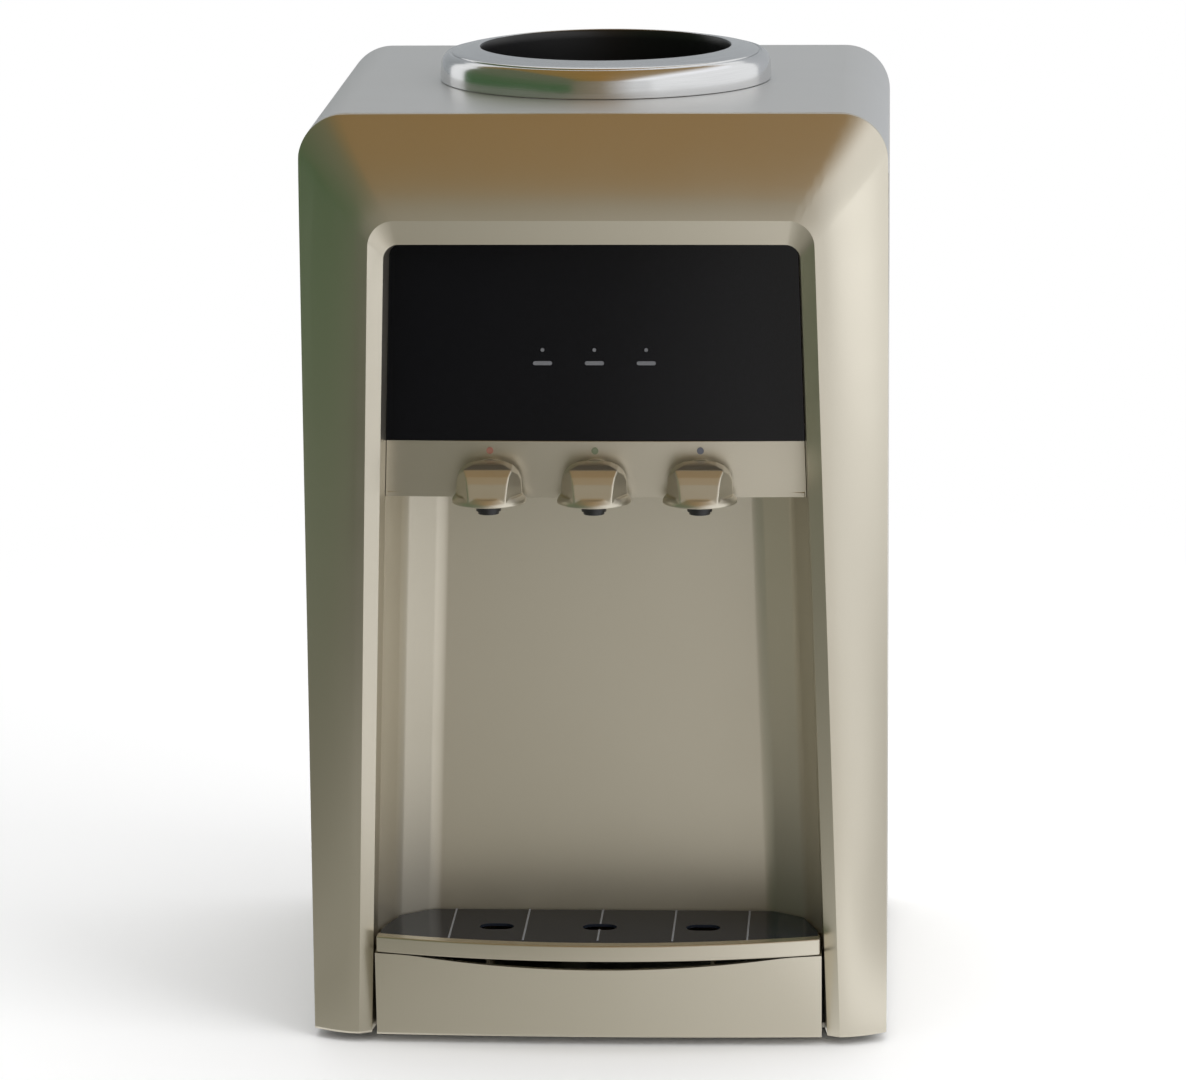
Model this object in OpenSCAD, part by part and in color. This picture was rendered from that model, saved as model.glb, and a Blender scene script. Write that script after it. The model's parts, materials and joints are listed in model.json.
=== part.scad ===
// Tabletop water dispenser for an upturned bottle, with hot, ambient and cold taps.
// Millimetres. +Z is up, the front faces -Y, and the origin is on the surface that the feet stand on.

/* [Cabinet] */
// Overall width
body_w = 305; // [290:1:340]
// Overall depth, from the tray's lip to the rear edge
body_d = 310; // [304:1:340]
// Height of the top cover
body_h = 497; // [485:1:540]
// Thickness of the side, rear and shelf sheets
sheet_t = 2; // [1.5:0.1:2.6]
// Wall of the moulded top cover
cover_t = 3; // [2.4:0.1:4]
// Depth of the top cover's skirts
cover_drop = 32; // [30:1:45]
// Radius of the long top edges
edge_r = 25; // [18:1:28]
// Recess of the rear panel behind the cabinet's edge
rear_set = 12; // [10:1:15]
// Width of the flanges that the rear panel is screwed to
flange_w = 14; // [10:1:20]
// Thickness of the base pan
base_t = 3; // [2:0.1:5]
// Height of the rubber feet
foot_h = 5; // [4:0.5:10]
// Radius of a rubber foot
foot_r = 14; // [10:1:18]
// Distance from the cabinet's edges to a foot's axis
foot_inset = 34; // [28:1:45]
// Gap between fixed panels
seam = 0.2; // [0.1:0.05:0.4]
// Gap between a moving piece and what holds it
run_gap = 0.4; // [0.3:0.05:0.6]

/* [Front frame] */
// Depth of the frame from its rear edge to its crest, at the top
frame_depth = 28; // [24:1:32]
// The same depth at the bottom
frame_depth_low = 12; // [9:0.5:20]
// Wall of the frame
frame_t = 3; // [2:0.1:4]
// Setback of the crest behind the tray's lip
crest_set = 5; // [3:0.5:8]
// Depth of the plain rim at the frame's rear
shoulder = 4; // [2:0.5:8]
// Width of the side bands at the bottom
band_low = 24.5; // [20:0.5:30]
// Width of the side bands at the top
band_high = 38; // [32:0.5:42]
// Width of the top band
band_top = 52; // [44:1:60]
// Splay of the inner wall at the bottom
splay_low = 8; // [4:0.1:10]
// Splay of the inner wall at the top of the legs
splay_high = 8.5; // [6:0.1:10]
// Splay of the inner wall under the top band
splay_top = 16; // [12:0.5:20]
// Depth of the inner wall
face_depth = 30; // [27:1:34]
// Corner radius of the crest
crest_r = 14; // [10:0.5:20]
// Corner radius of the inner edge
inner_r = 7; // [5:0.5:9]

/* [Fascia] */
// Height of the black fascia
fascia_h = 104; // [95:1:110]
// Thickness of the fascia
fascia_t = 5; // [4:0.1:7]
// Distance between the indicator windows
lens_pitch = 27; // [22:1:35]
// Width of an indicator window
lens_w = 10; // [6:0.5:14]
// Height of an indicator window
lens_h = 2.2; // [1.6:0.1:3]
// Height of the windows above the fascia's lower edge
lens_up = 41; // [30:1:50]
// Radius of the lamp dot above each window
lamp_r = 1; // [0.8:0.1:1.6]
// Height of the lamp dots above the windows
lamp_up = 7; // [5:0.5:10]
// Thickness of the lamp board behind the fascia
lamp_board_t = 1.6; // [1.2:0.1:2.4]
// Height of the lamp board
lamp_board_h = 24; // [20:1:30]

/* [Tap panel] */
// Height of the tap panel
tap_panel_h = 30; // [28:1:34]
// Thickness of the tap panel
tap_panel_t = 3; // [2:0.1:4]
// Forward bow of the tap panel
tap_panel_bow = 3; // [2:0.5:4]
// Distance between the taps
tap_pitch = 55; // [50:1:60]
// Height of the tap shanks above the panel's lower edge
shank_up = 12; // [12:0.5:13.5]
// Radius of a marker dot
marker_r = 1.8; // [1.2:0.1:2.4]
// Height of the marker dots above the shanks
marker_up = 13; // [12:0.5:14]

/* [Niche] */
// Depth of the niche behind the fascia
niche_depth = 40; // [36:1:46]
// Wall of the niche liner
niche_t = 2.5; // [2:0.1:3]
// Narrowing of each side wall over the depth
niche_splay = 12; // [8:0.5:16]
// Reach of the niche's slanted rear corners
niche_r = 20; // [12:1:26]

/* [Drip tray] */
// Height of the tray shelf's top above the base
shelf_up = 46.2; // [42:0.2:52]
// Setback of the shelf behind the tray's lip
shelf_set = 16; // [13:0.5:17]
// Height of the tray and its lip
tray_h = 8.8; // [8.6:0.1:10]
// Forward bow of the lip
lip_bow = 16; // [12:0.5:18]
// Thickness of the lip
lip_t = 7; // [6:0.5:9]
// Wall of the pan
tray_wall = 2.2; // [1.6:0.1:3]
// Floor of the pan
tray_floor = 1.4; // [1.2:0.1:1.5]
// Gap round the tray
tray_gap = 0.6; // [0.4:0.1:1]
// Width of the ledge inside the wall
ledge_w = 2; // [1.5:0.1:3]
// Setback of the grille's edge from the outside of the pan
grille_in = 1.2; // [1:0.1:2]
// Thickness of the grille
grille_t = 1.6; // [1.4:0.1:1.7]
// Depth of the grille's top below the lip
grille_drop = 1; // [0.8:0.1:1.2]
// Distance between the grille's raised ribs
rib_pitch = 39.5; // [30:0.5:45]
// Width of a raised rib
rib_w = 1; // [0.8:0.1:1.6]
// Height of a raised rib
rib_h = 0.4; // [0.3:0.1:0.6]
// Length of a drain slot
drain_l = 18; // [14:1:28]
// Width of a drain slot
drain_w = 11; // [3:0.5:12]

/* [Lower panel] */
// Setback of the panel's top behind the tray's lip
lower_set = 3; // [2:0.5:5]
// Forward bow of the lower panel
lower_bow = 13; // [8:0.5:14]
// Forward bow of the panel's lower edge
lower_foot_bow = 3; // [1:0.5:8]
// Backward lean of the panel's lower edge
lower_lean = 15; // [4:0.5:18]
// Thickness of the lower panel
lower_t = 3; // [2:0.1:4]
// Width of the finger recess under the lip
finger_w = 200; // [120:1:210]
// Depth of the finger recess
finger_h = 5; // [2:0.5:6]

/* [Bottle seat] */
// Outer radius of the collar
collar_r = 89; // [86:1:96]
// Height of the collar above the top cover
collar_rise = 18; // [14:0.5:19]
// Distance of the collar's axis behind the middle
collar_y = 15; // [10:1:17]
// Radius of the collar's bore
bore_r = 66.5; // [64:0.5:68]
// Length of the collar's bore
bore_l = 20; // [16:1:22]
// Lead-in above the bore
lead_in = 5; // [3:0.5:6]
// Wall of the collar's tube
collar_t = 3.5; // [3:0.1:4]
// Step below the bore that holds the seat's rim
seat_step = 2.5; // [2:0.1:3]
// Depth of that step
seat_step_h = 10; // [8:0.5:12]
// Width of the ledge that the seat's rim lies on
seat_ledge = 3; // [2.5:0.1:4]
// Thickness of the seat's rim and of the ledge
seat_rim_t = 3; // [2:0.1:4]
// Wall of the bottle seat
seat_t = 2.2; // [1.8:0.1:3]
// Depth of the seat's straight cup below its rim
cup_h = 28; // [24:1:32]
// Depth of the seat's cone
cone_h = 24; // [20:1:30]
// Inner radius of the socket for the bottle's neck
neck_r = 28.5; // [26:0.5:31]
// Depth of the neck socket
neck_h = 20; // [16:1:22]
// Radius of the feed spike
spike_r = 6; // [5:0.5:7]
// Height of the feed spike above the socket's floor
spike_h = 45; // [36:1:48]
// Radius of the spike's water way
spike_bore = 3.5; // [2.5:0.1:4]
// Radius of a feed hole in the socket's floor
feed_r = 4; // [3:0.5:5]
// Width of the seal round the neck
gasket_w = 5; // [4:0.5:8]
// Thickness of the seal
gasket_t = 3; // [2:0.5:4]

/* [Taps] */
// Radius of a tap's shank
shank_r = 5.5; // [5:0.1:6]
// Length of a tap's shank behind the panel
shank_l = 19; // [17:0.5:22]
// Radius of the water way in a shank
way_r = 3; // [2:0.1:3.4]
// Length of the hose barb behind a shank
barb_l = 8; // [6:0.5:9]
// Across-corners radius of a tap nut
nut_r = 9; // [8.5:0.1:9.2]
// Thickness of a tap nut
nut_t = 5; // [4:0.5:7]
// Radius of a tap's flange
flange_r = 9; // [8:0.5:9.5]
// Thickness of a tap's flange
flange_t = 2.5; // [2:0.1:3]
// Width of the flange's lower half
flange_foot_w = 14; // [12:0.5:15]
// Distance of the valve barrel in front of the flange's seat
barrel_reach = 14; // [13.5:0.1:15]
// Radius of the valve barrel
barrel_r = 6.5; // [6:0.1:7]
// Drop of the barrel's top below the shank
barrel_drop = 7; // [6.5:0.1:7.5]
// Height of the barrel
barrel_h = 9; // [8.5:0.1:11]
// Radius of the bridge between flange and barrel
bridge_r = 3.8; // [3:0.1:4]
// Radius of the nozzle
nozzle_r = 5.5; // [4.5:0.1:6]
// Length of the nozzle below the barrel
nozzle_h = 1.5; // [1:0.5:8]
// Radius of the nozzle's outlet
outlet_r = 3.6; // [3:0.1:4]
// Radius of a lever's hinge pin
pin_r = 1.5; // [1.2:0.1:1.8]
// Distance of the hinge pin in front of the flange's seat
pin_reach = 6; // [5.8:0.1:6.4]
// Height of the hinge pin above the shank
pin_up = 2; // [1.5:0.1:2.5]
// Radius of the knuckle round the pin
knuckle_r = 3; // [2.6:0.1:3.2]
// Width of the knuckle
knuckle_w = 6; // [5:0.1:6.4]
// Thickness of a lug that holds the pin
lug_t = 2.5; // [2:0.1:3]
// Radius of a lever's flared lip
lever_r = 19.5; // [18:0.5:20.5]
// Half the width of a lever's nose
lever_nose = 8.5; // [7:0.5:10]
// Angle between a lever's flanks and its middle, in plan
lever_flank = 24; // [20:1:28]
// Height of a lever
lever_h = 21; // [20:0.5:22]
// Wall of a lever
lever_t = 2; // [1.6:0.1:2.2]
// Distance of the lever's axis in front of the flange's seat
lever_reach = 10.5; // [10:0.1:11]
// Height of a lever's top above the shank
lever_up = 9; // [8.8:0.1:10]
// Distance of the lever's rear edge in front of the flange's seat
lever_back = 5.5; // [5:0.1:6]
// Radius of a valve stem
stem_r = 2.5; // [2:0.1:2.6]
// Running gap of the stems and hinge pins
shaft_gap = 0.05; // [0.02:0.01:0.1]
// Height of the barrel's guide for the stem
guide_h = 6; // [4:0.5:7]
// Radius of the stem's spring collar
stem_collar_r = 4.2; // [3.8:0.1:4.4]
// Height of the stem's spring collar above the barrel
stem_collar_up = 5.5; // [5:0.1:6]
// Thickness of the stem's spring collar
stem_collar_t = 1; // [0.8:0.1:1.2]
// Turns of a stem spring
spring_turns = 3; // [2:1:4]
// Radius of the spring's wire
wire_r = 0.3; // [0.25:0.05:0.4]

/* [Water circuit] */
// Outer radius of the reservoir
reservoir_r = 66; // [60:1:68]
// Wall of the reservoir
reservoir_t = 2.5; // [2:0.1:3.5]
// Dip of the neck socket into the reservoir
neck_dip = 3; // [2:0.5:6]
// Thickness of the reservoir's lid
lid_t = 3; // [2:0.1:4]
// Overhang of the lid over the reservoir's wall
lid_lip = 6; // [4:0.5:8]
// Thickness of the foam round the reservoir
foam_t = 13; // [10:0.5:13]
// Thickness of the foam's floor
foam_floor = 17; // [12:1:24]
// Height of the baffle between cold and ambient water above the reservoir's floor
baffle_up = 42; // [36:1:50]
// Thickness of the baffle
baffle_t = 2; // [1.5:0.1:3]
// Outer radius of the hoses
hose_r = 5; // [4.5:0.1:5.2]
// Outer radius of the hose stubs
stub_r = 3.1; // [2.6:0.1:3.4]
// Length of a hose stub in its hose
stub_l = 8; // [6:0.5:9]
// Bend radius of the hoses
hose_bend = 9; // [7:0.5:10]
// Radius of the hot tank
tank_r = 48; // [42:1:50]
// Height of the hot tank
tank_h = 130; // [110:1:150]
// Rounding of the hot tank's ends
tank_round = 12; // [6:1:16]
// Wall of the hot tank
tank_t = 1.5; // [1:0.1:2.5]
// Height of the hot tank's stand
stand_h = 57; // [50:1:70]
// Thickness of the stand's sheet
stand_t = 3; // [2:0.1:4]
// Sideways place of the hot tank
tank_x = -62; // [-70:1:-56]
// Depth place of the hot tank
tank_y = 40; // [30:1:50]
// Width of the heater band
heater_h = 34; // [24:1:44]
// Thickness of the heater band
heater_t = 2.5; // [2:0.1:4]
// Radius of a thermostat
thermostat_r = 9; // [7:0.5:11]
// Height of a thermostat
thermostat_h = 8; // [6:0.5:12]
// Height of the drain spout above the base pan
drain_up = 27; // [20:1:34]
// Radius of the drain spout
spout_r = 7; // [5:0.5:8]
// Wall of the drain cap
cap_t = 2.5; // [2:0.1:3]
// Length of the drain spout behind the rear panel
spout_l = 7; // [6:0.5:8]

/* [Cooling] */
// Side of the heat sink and fan
fan_w = 80; // [70:1:90]
// Depth of the fan
fan_d = 15; // [13:0.5:16]
// Radius of the fan's hub
hub_r = 14; // [12:0.5:18]
// Radius of the fan's shaft
shaft_r = 2; // [1.5:0.1:2.5]
// Blades of the fan
blade_count = 7; // [5:1:9]
// Chord of a blade
blade_chord = 13; // [10:0.5:14]
// Pitch angle of a blade
blade_angle = 38; // [30:1:45]
// Thickness of a blade
blade_t = 1.6; // [1.2:0.1:2]
// Thickness of the heat sink's base
sink_base_t = 6; // [4:0.5:8]
// Number of fins
fin_count = 11; // [8:1:14]
// Thickness of a fin
fin_t = 2; // [1.5:0.1:3]
// Side of the thermoelectric module
module_w = 40; // [30:1:50]
// Thickness of the thermoelectric module
module_t = 4; // [3:0.1:5]
// Side of the cold block
block_w = 56; // [50:1:64]
// Thickness of the cold block behind the reservoir
block_t = 13; // [10:0.5:14]
// Height of a vent slot
vent_h = 3.5; // [2.5:0.1:3.9]
// Distance between vent slots
vent_pitch = 9; // [7:0.5:12]

/* [Electrics] */
// Width of the power board
board_w = 96; // [80:1:110]
// Depth of the power board
board_d = 76; // [60:1:90]
// Thickness of the power board
board_t = 1.6; // [1.2:0.1:2.4]
// Height of the posts under the power board
post_h = 8; // [5:0.5:12]
// Radius of a post
post_r = 3; // [2.5:0.1:4]
// Sideways place of the power board
board_x = 74; // [70:1:84]
// Width of a switch housing
switch_w = 15; // [14:0.5:18]
// Height of a switch housing
switch_h = 24; // [22:0.5:28]
// Depth of a switch housing behind the rear panel
switch_d = 14; // [12:0.5:18]
// Wall of a switch housing
switch_t = 2; // [1.6:0.1:2.4]
// Overhang of a switch bezel
bezel_w = 2; // [1.5:0.1:3]
// Tilt of a rocker
rocker_tilt = 8; // [5:0.5:9]
// Distance between the switches
switch_pitch = 34; // [28:1:40]
// Height of the switches above the base pan
switch_up = 60; // [50:1:80]
// Radius of the cord hole in the gland
cord_r = 3.6; // [3:0.1:4.5]
// Wall of the gland
gland_t = 3; // [2:0.1:4]
// Length of the gland
gland_l = 16; // [12:0.5:18]
// Height of the gland above the base pan
gland_up = 22; // [18:1:30]
// Radius of a screw's shank
screw_r = 1.9; // [1.5:0.1:2.2]
// Length of a screw's shank
screw_l = 9; // [7:0.5:14]
// Radius of a screw's head
head_r = 4; // [3:0.1:5]
// Height of a screw's head
head_h = 2.4; // [1.8:0.1:3.2]

/* [Hidden] */
$fn = 64;

// Facets of the wide arcs, the corner arcs, the frame's rounded bands and the swept tubes
wide_fn = 256;
corner_steps = 10;
band_steps = 7;
tube_sides = 8;
bend_steps = 4;
// How quickly the bands roll over from the rim to the crest
band_curve = 1.7;
// Cutting tools reach this far past the faces they cut
over = 1;
// Pieces that are moulded together overlap by this much
weld = 0.5;

champagne = [0.70, 0.66, 0.56];
silver = [0.74, 0.73, 0.70];
gloss_black = [0.05, 0.05, 0.06];
chrome = [0.85, 0.86, 0.87];
steel = [0.66, 0.67, 0.69];
clear_plastic = [0.86, 0.90, 0.92];
foam_white = [0.93, 0.93, 0.91];
rubber_black = [0.10, 0.10, 0.10];
board_green = [0.12, 0.36, 0.22];

half_w = body_w / 2;
front_y = -body_d / 2;
back_y = body_d / 2;
base_z = foot_h;
deck_z = base_z + base_t;
crest_y = front_y + crest_set;
seam_y = crest_y + frame_depth;
face_y = crest_y + face_depth;
niche_y = face_y + niche_depth;
rear_y = back_y - rear_set;
rear_in_y = rear_y - sheet_t;
rim_z = body_h + collar_rise;
skirt_z = body_h - cover_drop;

function mix(a, b, u) = a + (b - a) * u;
function bow_radius(half, bow) = (half * half + bow * bow) / (2 * bow);
function unit(v) = v / norm(v);

// Front frame: each station is [half width at the bottom, half width at the top, top, corner radius, y]
crest_half_low = half_w - band_low;
crest_half_high = half_w - band_high;
crest_top = body_h - band_top;
inner_half_low = crest_half_low - splay_low;
inner_half_high = crest_half_high - splay_high;
inner_top = crest_top - splay_top;
fascia_top = inner_top - seam;
fascia_z = fascia_top - fascia_h;
tap_top = fascia_z - seam;
tap_z = tap_top - tap_panel_h;
shank_z = tap_z + shank_up;
reservoir_z = shank_z - stub_r - reservoir_t - over;
shelf_z = reservoir_z - foam_floor;
fan_z = reservoir_z + reservoir_t + baffle_up;
shoulder_y = seam_y - shoulder;
crest = [crest_half_low, crest_half_high, crest_top, crest_r, crest_y];
inner_edge = [inner_half_low, inner_half_high, inner_top, inner_r, face_y];
rim = [half_w, half_w, body_h, edge_r, seam_y];
// Shares of the inner wall's splay and depth that the chamfer along its front takes
crest_roll = [0.85, 0.25];

function band_station(u) = concat(
  [for (i = [0:3]) mix(rim[i], crest[i], u)],
  [mix(shoulder_y, crest_y, 1 - pow(1 - u, band_curve))]
);
function roll_station() = concat(
  [for (i = [0:3]) mix(crest[i], inner_edge[i], crest_roll[0])],
  [mix(crest_y, face_y, crest_roll[1])]
);
frame_front = concat(
  [rim],
  [for (i = [0:band_steps]) band_station(i / band_steps)],
  [roll_station(), inner_edge]
);
// Directions, outwards and backwards, in which the wall's inner skin lies from each station
frame_inward = concat(
  [[-1, 0], [-1, 0.5]],
  [for (i = [1:band_steps]) [-cos(90 * i / band_steps), sin(90 * i / band_steps)]],
  [[0.9, 0.5], [1, 0]]
);
// Depth of the frame at a height, as a share of its depth at the crest's top
function lean(z) = mix(frame_depth_low / frame_depth, 1, (z - base_z) / (crest_top - base_z));
function leaned(y, z) = y < seam_y ? seam_y + (y - seam_y) * lean(z) : y;
function half_at(s, z) = mix(s[0], s[1], (z - base_z) / (s[2] - base_z));
function inner_half(z) = half_at(inner_edge, z);
function contour(s, out, back) =
  let (r = s[3] + out, corner_z = s[2] - s[3], corner_x = half_at(s, corner_z) - s[3])
    concat(
      [[-s[0] - out, leaned(s[4], base_z) + back, base_z]],
      [for (i = [0:corner_steps])
        let (a = 180 - 90 * i / corner_steps, z = corner_z + r * sin(a))
          [-corner_x + r * cos(a), leaned(s[4], z) + back, z]],
      [for (i = [0:corner_steps])
        let (a = 90 - 90 * i / corner_steps, z = corner_z + r * sin(a))
          [corner_x + r * cos(a), leaned(s[4], z) + back, z]],
      [[s[0] + out, leaned(s[4], base_z) + back, base_z]]
    );

// A closed wall between two grids of points
module lofted_shell(front, back) {
  rows = len(front);
  cols = len(front[0]);
  count = rows * cols;
  quads = concat(
    [for (r = [0:rows - 2], c = [0:cols - 2])
      [r * cols + c, r * cols + c + 1, (r + 1) * cols + c + 1, (r + 1) * cols + c]],
    [for (r = [0:rows - 2], c = [0:cols - 2])
      [count + r * cols + c, count + (r + 1) * cols + c,
       count + (r + 1) * cols + c + 1, count + r * cols + c + 1]],
    [for (c = [0:cols - 2]) [c + 1, c, count + c, count + c + 1]],
    [for (c = [0:cols - 2], last = (rows - 1) * cols)
      [last + c, last + c + 1, count + last + c + 1, count + last + c]],
    [for (r = [0:rows - 2]) [r * cols, (r + 1) * cols, count + (r + 1) * cols, count + r * cols]],
    [for (r = [0:rows - 2], e = cols - 1)
      [(r + 1) * cols + e, r * cols + e, count + r * cols + e, count + (r + 1) * cols + e]]
  );
  polyhedron(
    points = concat([for (row = front) each row], [for (row = back) each row]),
    faces = [for (q = quads) each [[q[0], q[1], q[2]], [q[0], q[2], q[3]]]],
    convexity = 10
  );
}

// Routes and swept tubes
function bend(a, b, c) =
  let (u = unit(a - b), v = unit(c - b), reach = min(hose_bend, norm(a - b) / 2, norm(c - b) / 2))
    [for (i = [0:bend_steps])
      let (t = i / bend_steps)
        (1 - t) * (1 - t) * (b + u * reach) + 2 * t * (1 - t) * b + t * t * (b + v * reach)];
function rounded_route(p) = concat(
  [p[0]],
  [for (i = [1:len(p) - 2]) each bend(p[i - 1], p[i], p[i + 1])],
  [p[len(p) - 1]]
);
function heading(p, i) = unit(p[min(i + 1, len(p) - 1)] - p[max(i - 1, 0)]);
// No run of a hose or spring lies along this direction, so every ring can be turned from it
ring_start = unit([0.61, 0.35, 0.71]);
function ring(p, i, r) =
  let (t = heading(p, i), n = unit(ring_start - t * (ring_start * t)), b = cross(t, n))
    [for (k = [0:tube_sides - 1])
      let (a = 360 * k / tube_sides)
        p[i] + r * (cos(a) * n + sin(a) * b)];

module swept_rod(p, r) {
  last = len(p) - 1;
  polyhedron(
    points = [for (i = [0:last]) each ring(p, i, r)],
    faces = concat(
      [for (i = [0:last - 1], k = [0:tube_sides - 1])
        let (a = i * tube_sides + k, b = i * tube_sides + (k + 1) % tube_sides)
          each [[a, a + tube_sides, b + tube_sides], [a, b + tube_sides, b]]],
      [[for (k = [0:tube_sides - 1]) k]],
      [[for (k = [tube_sides - 1:-1:0]) last * tube_sides + k]]
    ),
    convexity = 10
  );
}

// A hose from end to end, with its bore run past both ends
module hose(p) {
  route = rounded_route(p);
  first = p[0] + unit(p[0] - p[1]) * over;
  last = p[len(p) - 1] + unit(p[len(p) - 1] - p[len(p) - 2]) * over;
  longer = rounded_route([for (i = [0:len(p) - 1]) i == 0 ? first : i == len(p) - 1 ? last : p[i]]);
  difference() {
    swept_rod(route, hose_r / cos(180 / tube_sides));
    swept_rod(longer, (stub_r + seam) / cos(180 / tube_sides));
  }
}

// Cabinet
foot_places = [
  for (x = [-1, 1], y = [seam_y + foot_inset, back_y - foot_inset]) [x * (half_w - foot_inset), y]
];
pan_half = half_w - sheet_t - seam;
pan_back_y = rear_in_y - sheet_t - 2 * seam;
board_y = rear_in_y - flange_w - board_d / 2;
board_places = [
  for (x = [-1, 1], y = [-1, 1])
    [board_x + x * (board_w / 2 - post_r), board_y + y * (board_d / 2 - post_r)]
];

module base_pan() {
  color(silver) {
    translate([-pan_half, face_y + frame_t, base_z])
      cube([2 * pan_half, pan_back_y - face_y - frame_t, base_t]);
    translate([-tongue_half, tongue_y, base_z])
      cube([2 * tongue_half, face_y + frame_t + weld - tongue_y, base_t]);
    for (p = board_places)
      translate([p[0], p[1], deck_z - weld])
        cylinder(h = post_h + weld, r = post_r);
  }
}

module rubber_feet() {
  color(rubber_black)
    for (p = foot_places)
      translate([p[0], p[1], 0])
        cylinder(h = foot_h, r = foot_r);
}

module side_panel() {
  depth = back_y - seam_y - seam;
  height = skirt_z - seam - base_z;
  translate([half_w - sheet_t, seam_y + seam, base_z])
    cube([sheet_t, depth, height]);
  difference() {
    translate([half_w - flange_w, rear_in_y - sheet_t - seam, base_z])
      cube([flange_w, sheet_t, height]);
    for (z = screw_heights)
      translate([screw_x, 0, z])
        along_y(rear_in_y - sheet_t - over, sheet_t + 2 * over, screw_r + seam / 2);
  }
}

module left_side_panel() {
  color(silver)
    mirror([1, 0, 0])
      side_panel();
}

module right_side_panel() {
  color(silver)
    side_panel();
}

screw_x = half_w - flange_w / 2 - sheet_t / 2;
screw_heights = [for (u = [0.06, 0.5, 0.94]) mix(base_z, skirt_z, u)];
screw_places = [for (x = [-1, 1], z = screw_heights) [x * screw_x, z]];
fan_hole = fan_w / 2 - 4;
fan_screw_places = [for (x = [-1, 1], z = [-1, 1]) [x * fan_hole, fan_z + z * fan_hole]];
vent_fan_count = floor(fan_w / vent_pitch) - 1;
vent_fan_w = 2 * (fan_hole - 2 * head_r);
vent_low_count = 6;
vent_low_z = shelf_z - 60;
vent_low_w = 150;
switch_x = [board_x - switch_pitch / 2, board_x + switch_pitch / 2];
switch_z = deck_z + switch_up;
gland_x = board_x;
gland_z = deck_z + gland_up;
spout_z = deck_z + drain_up;
switch_hole_w = switch_w + 2 * seam;
switch_hole_h = switch_h + 2 * seam;

module vent_row(count, width, z) {
  for (i = [0:count - 1])
    let (slot_z = z + (i - (count - 1) / 2) * vent_pitch)
      translate([-width / 2, rear_in_y - over, slot_z - vent_h / 2])
        cube([width, sheet_t + 2 * over, vent_h]);
}

module rear_hole(x, z, r) {
  translate([x, rear_in_y - over, z])
    rotate([-90, 0, 0])
      cylinder(h = sheet_t + 2 * over, r = r);
}

module rear_panel() {
  height = body_h - cover_t - seam - base_z;
  half = half_w - cover_t - seam;
  color(silver)
    difference() {
      translate([-half, rear_y, base_z])
        rotate([90, 0, 0])
          linear_extrude(height = sheet_t)
            arched_outline(half, height, edge_r - cover_t);
      vent_row(vent_fan_count, vent_fan_w, fan_z);
      vent_row(vent_low_count, vent_low_w, vent_low_z);
      for (p = concat(screw_places, fan_screw_places))
        rear_hole(p[0], p[1], screw_r + seam);
      rear_hole(tank_x, spout_z, spout_r + seam);
      rear_hole(gland_x, gland_z, cord_r + gland_t + seam);
      for (x = switch_x)
        translate([x - switch_hole_w / 2, rear_in_y - over, switch_z - switch_hole_h / 2])
          cube([switch_hole_w, sheet_t + 2 * over, switch_hole_h]);
    }
}

// An upright outline with rounded upper corners, from its lower left corner
module arched_outline(half, height, r) {
  intersection() {
    square([2 * half, height]);
    union() {
      square([2 * half, height - r]);
      translate([r, 0])
        square([2 * (half - r), height]);
      for (x = [r, 2 * half - r])
        translate([x, height - r])
          circle(r = r, $fn = wide_fn);
    }
  }
}

cover_hole_r = bore_r + collar_t + seam;

module top_cover() {
  depth = back_y - seam_y - seam;
  color(silver)
    difference() {
      translate([0, back_y, skirt_z])
        rotate([90, 0, 0])
          linear_extrude(height = depth)
            difference() {
              translate([-half_w, 0])
                arched_outline(half_w, cover_drop, edge_r);
              translate([-half_w + cover_t, -over])
                arched_outline(half_w - cover_t, cover_drop - cover_t + over, edge_r - cover_t);
            }
      translate([0, collar_y, body_h - cover_t - over])
        cylinder(h = cover_t + 2 * over, r = cover_hole_r, $fn = wide_fn);
    }
}

module front_frame() {
  color(champagne)
    lofted_shell(
      [for (s = frame_front) contour(s, 0, 0)],
      [for (i = [0:len(frame_front) - 1])
        contour(frame_front[i], frame_inward[i][0] * frame_t, frame_inward[i][1] * frame_t)]
    );
}

// Fascia and tap panel
fascia_back_y = face_y + frame_t;
lens_z = fascia_z + lens_up;
lens_x = [-lens_pitch, 0, lens_pitch];

function face_half(z) = inner_half(z) - seam;
function fascia_arc(side) =
  let (r = inner_r - seam, x = face_half(fascia_top - r) - r)
    [for (i = [0:corner_steps])
      let (a = 90 * (side > 0 ? i : corner_steps - i) / corner_steps)
        [side * (x + r * cos(a)), fascia_top - r + r * sin(a)]];

module display_fascia() {
  color(gloss_black)
    difference() {
      translate([0, fascia_back_y, 0])
        rotate([90, 0, 0])
          linear_extrude(height = fascia_t)
            polygon(concat(
              [[-face_half(fascia_z), fascia_z], [face_half(fascia_z), fascia_z]],
              fascia_arc(1),
              fascia_arc(-1)
            ));
      for (x = lens_x)
        indicator(x, seam, over);
    }
}

// One indicator window with its lamp dot, grown by a gap and run past the fascia's faces
module indicator(x, gap, past) {
  translate([x, fascia_back_y + past, lens_z])
    rotate([90, 0, 0])
      linear_extrude(height = fascia_t + 2 * past) {
        square([lens_w - lens_h + 2 * gap, lens_h + 2 * gap], center = true);
        for (s = [-1, 1])
          translate([s * (lens_w - lens_h) / 2, 0])
            circle(r = lens_h / 2 + gap);
        translate([0, lamp_up])
          circle(r = lamp_r + gap);
      }
}

module indicator_lenses() {
  color(clear_plastic)
    for (x = lens_x)
      indicator(x, 0, 0);
}

module indicator_board() {
  width = 2 * lens_pitch + 2 * lens_w;
  color(board_green)
    translate([-width / 2, fascia_back_y + seam, lens_z + lamp_up / 2 - lamp_board_h / 2])
      cube([width, lamp_board_t, lamp_board_h]);
}

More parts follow.
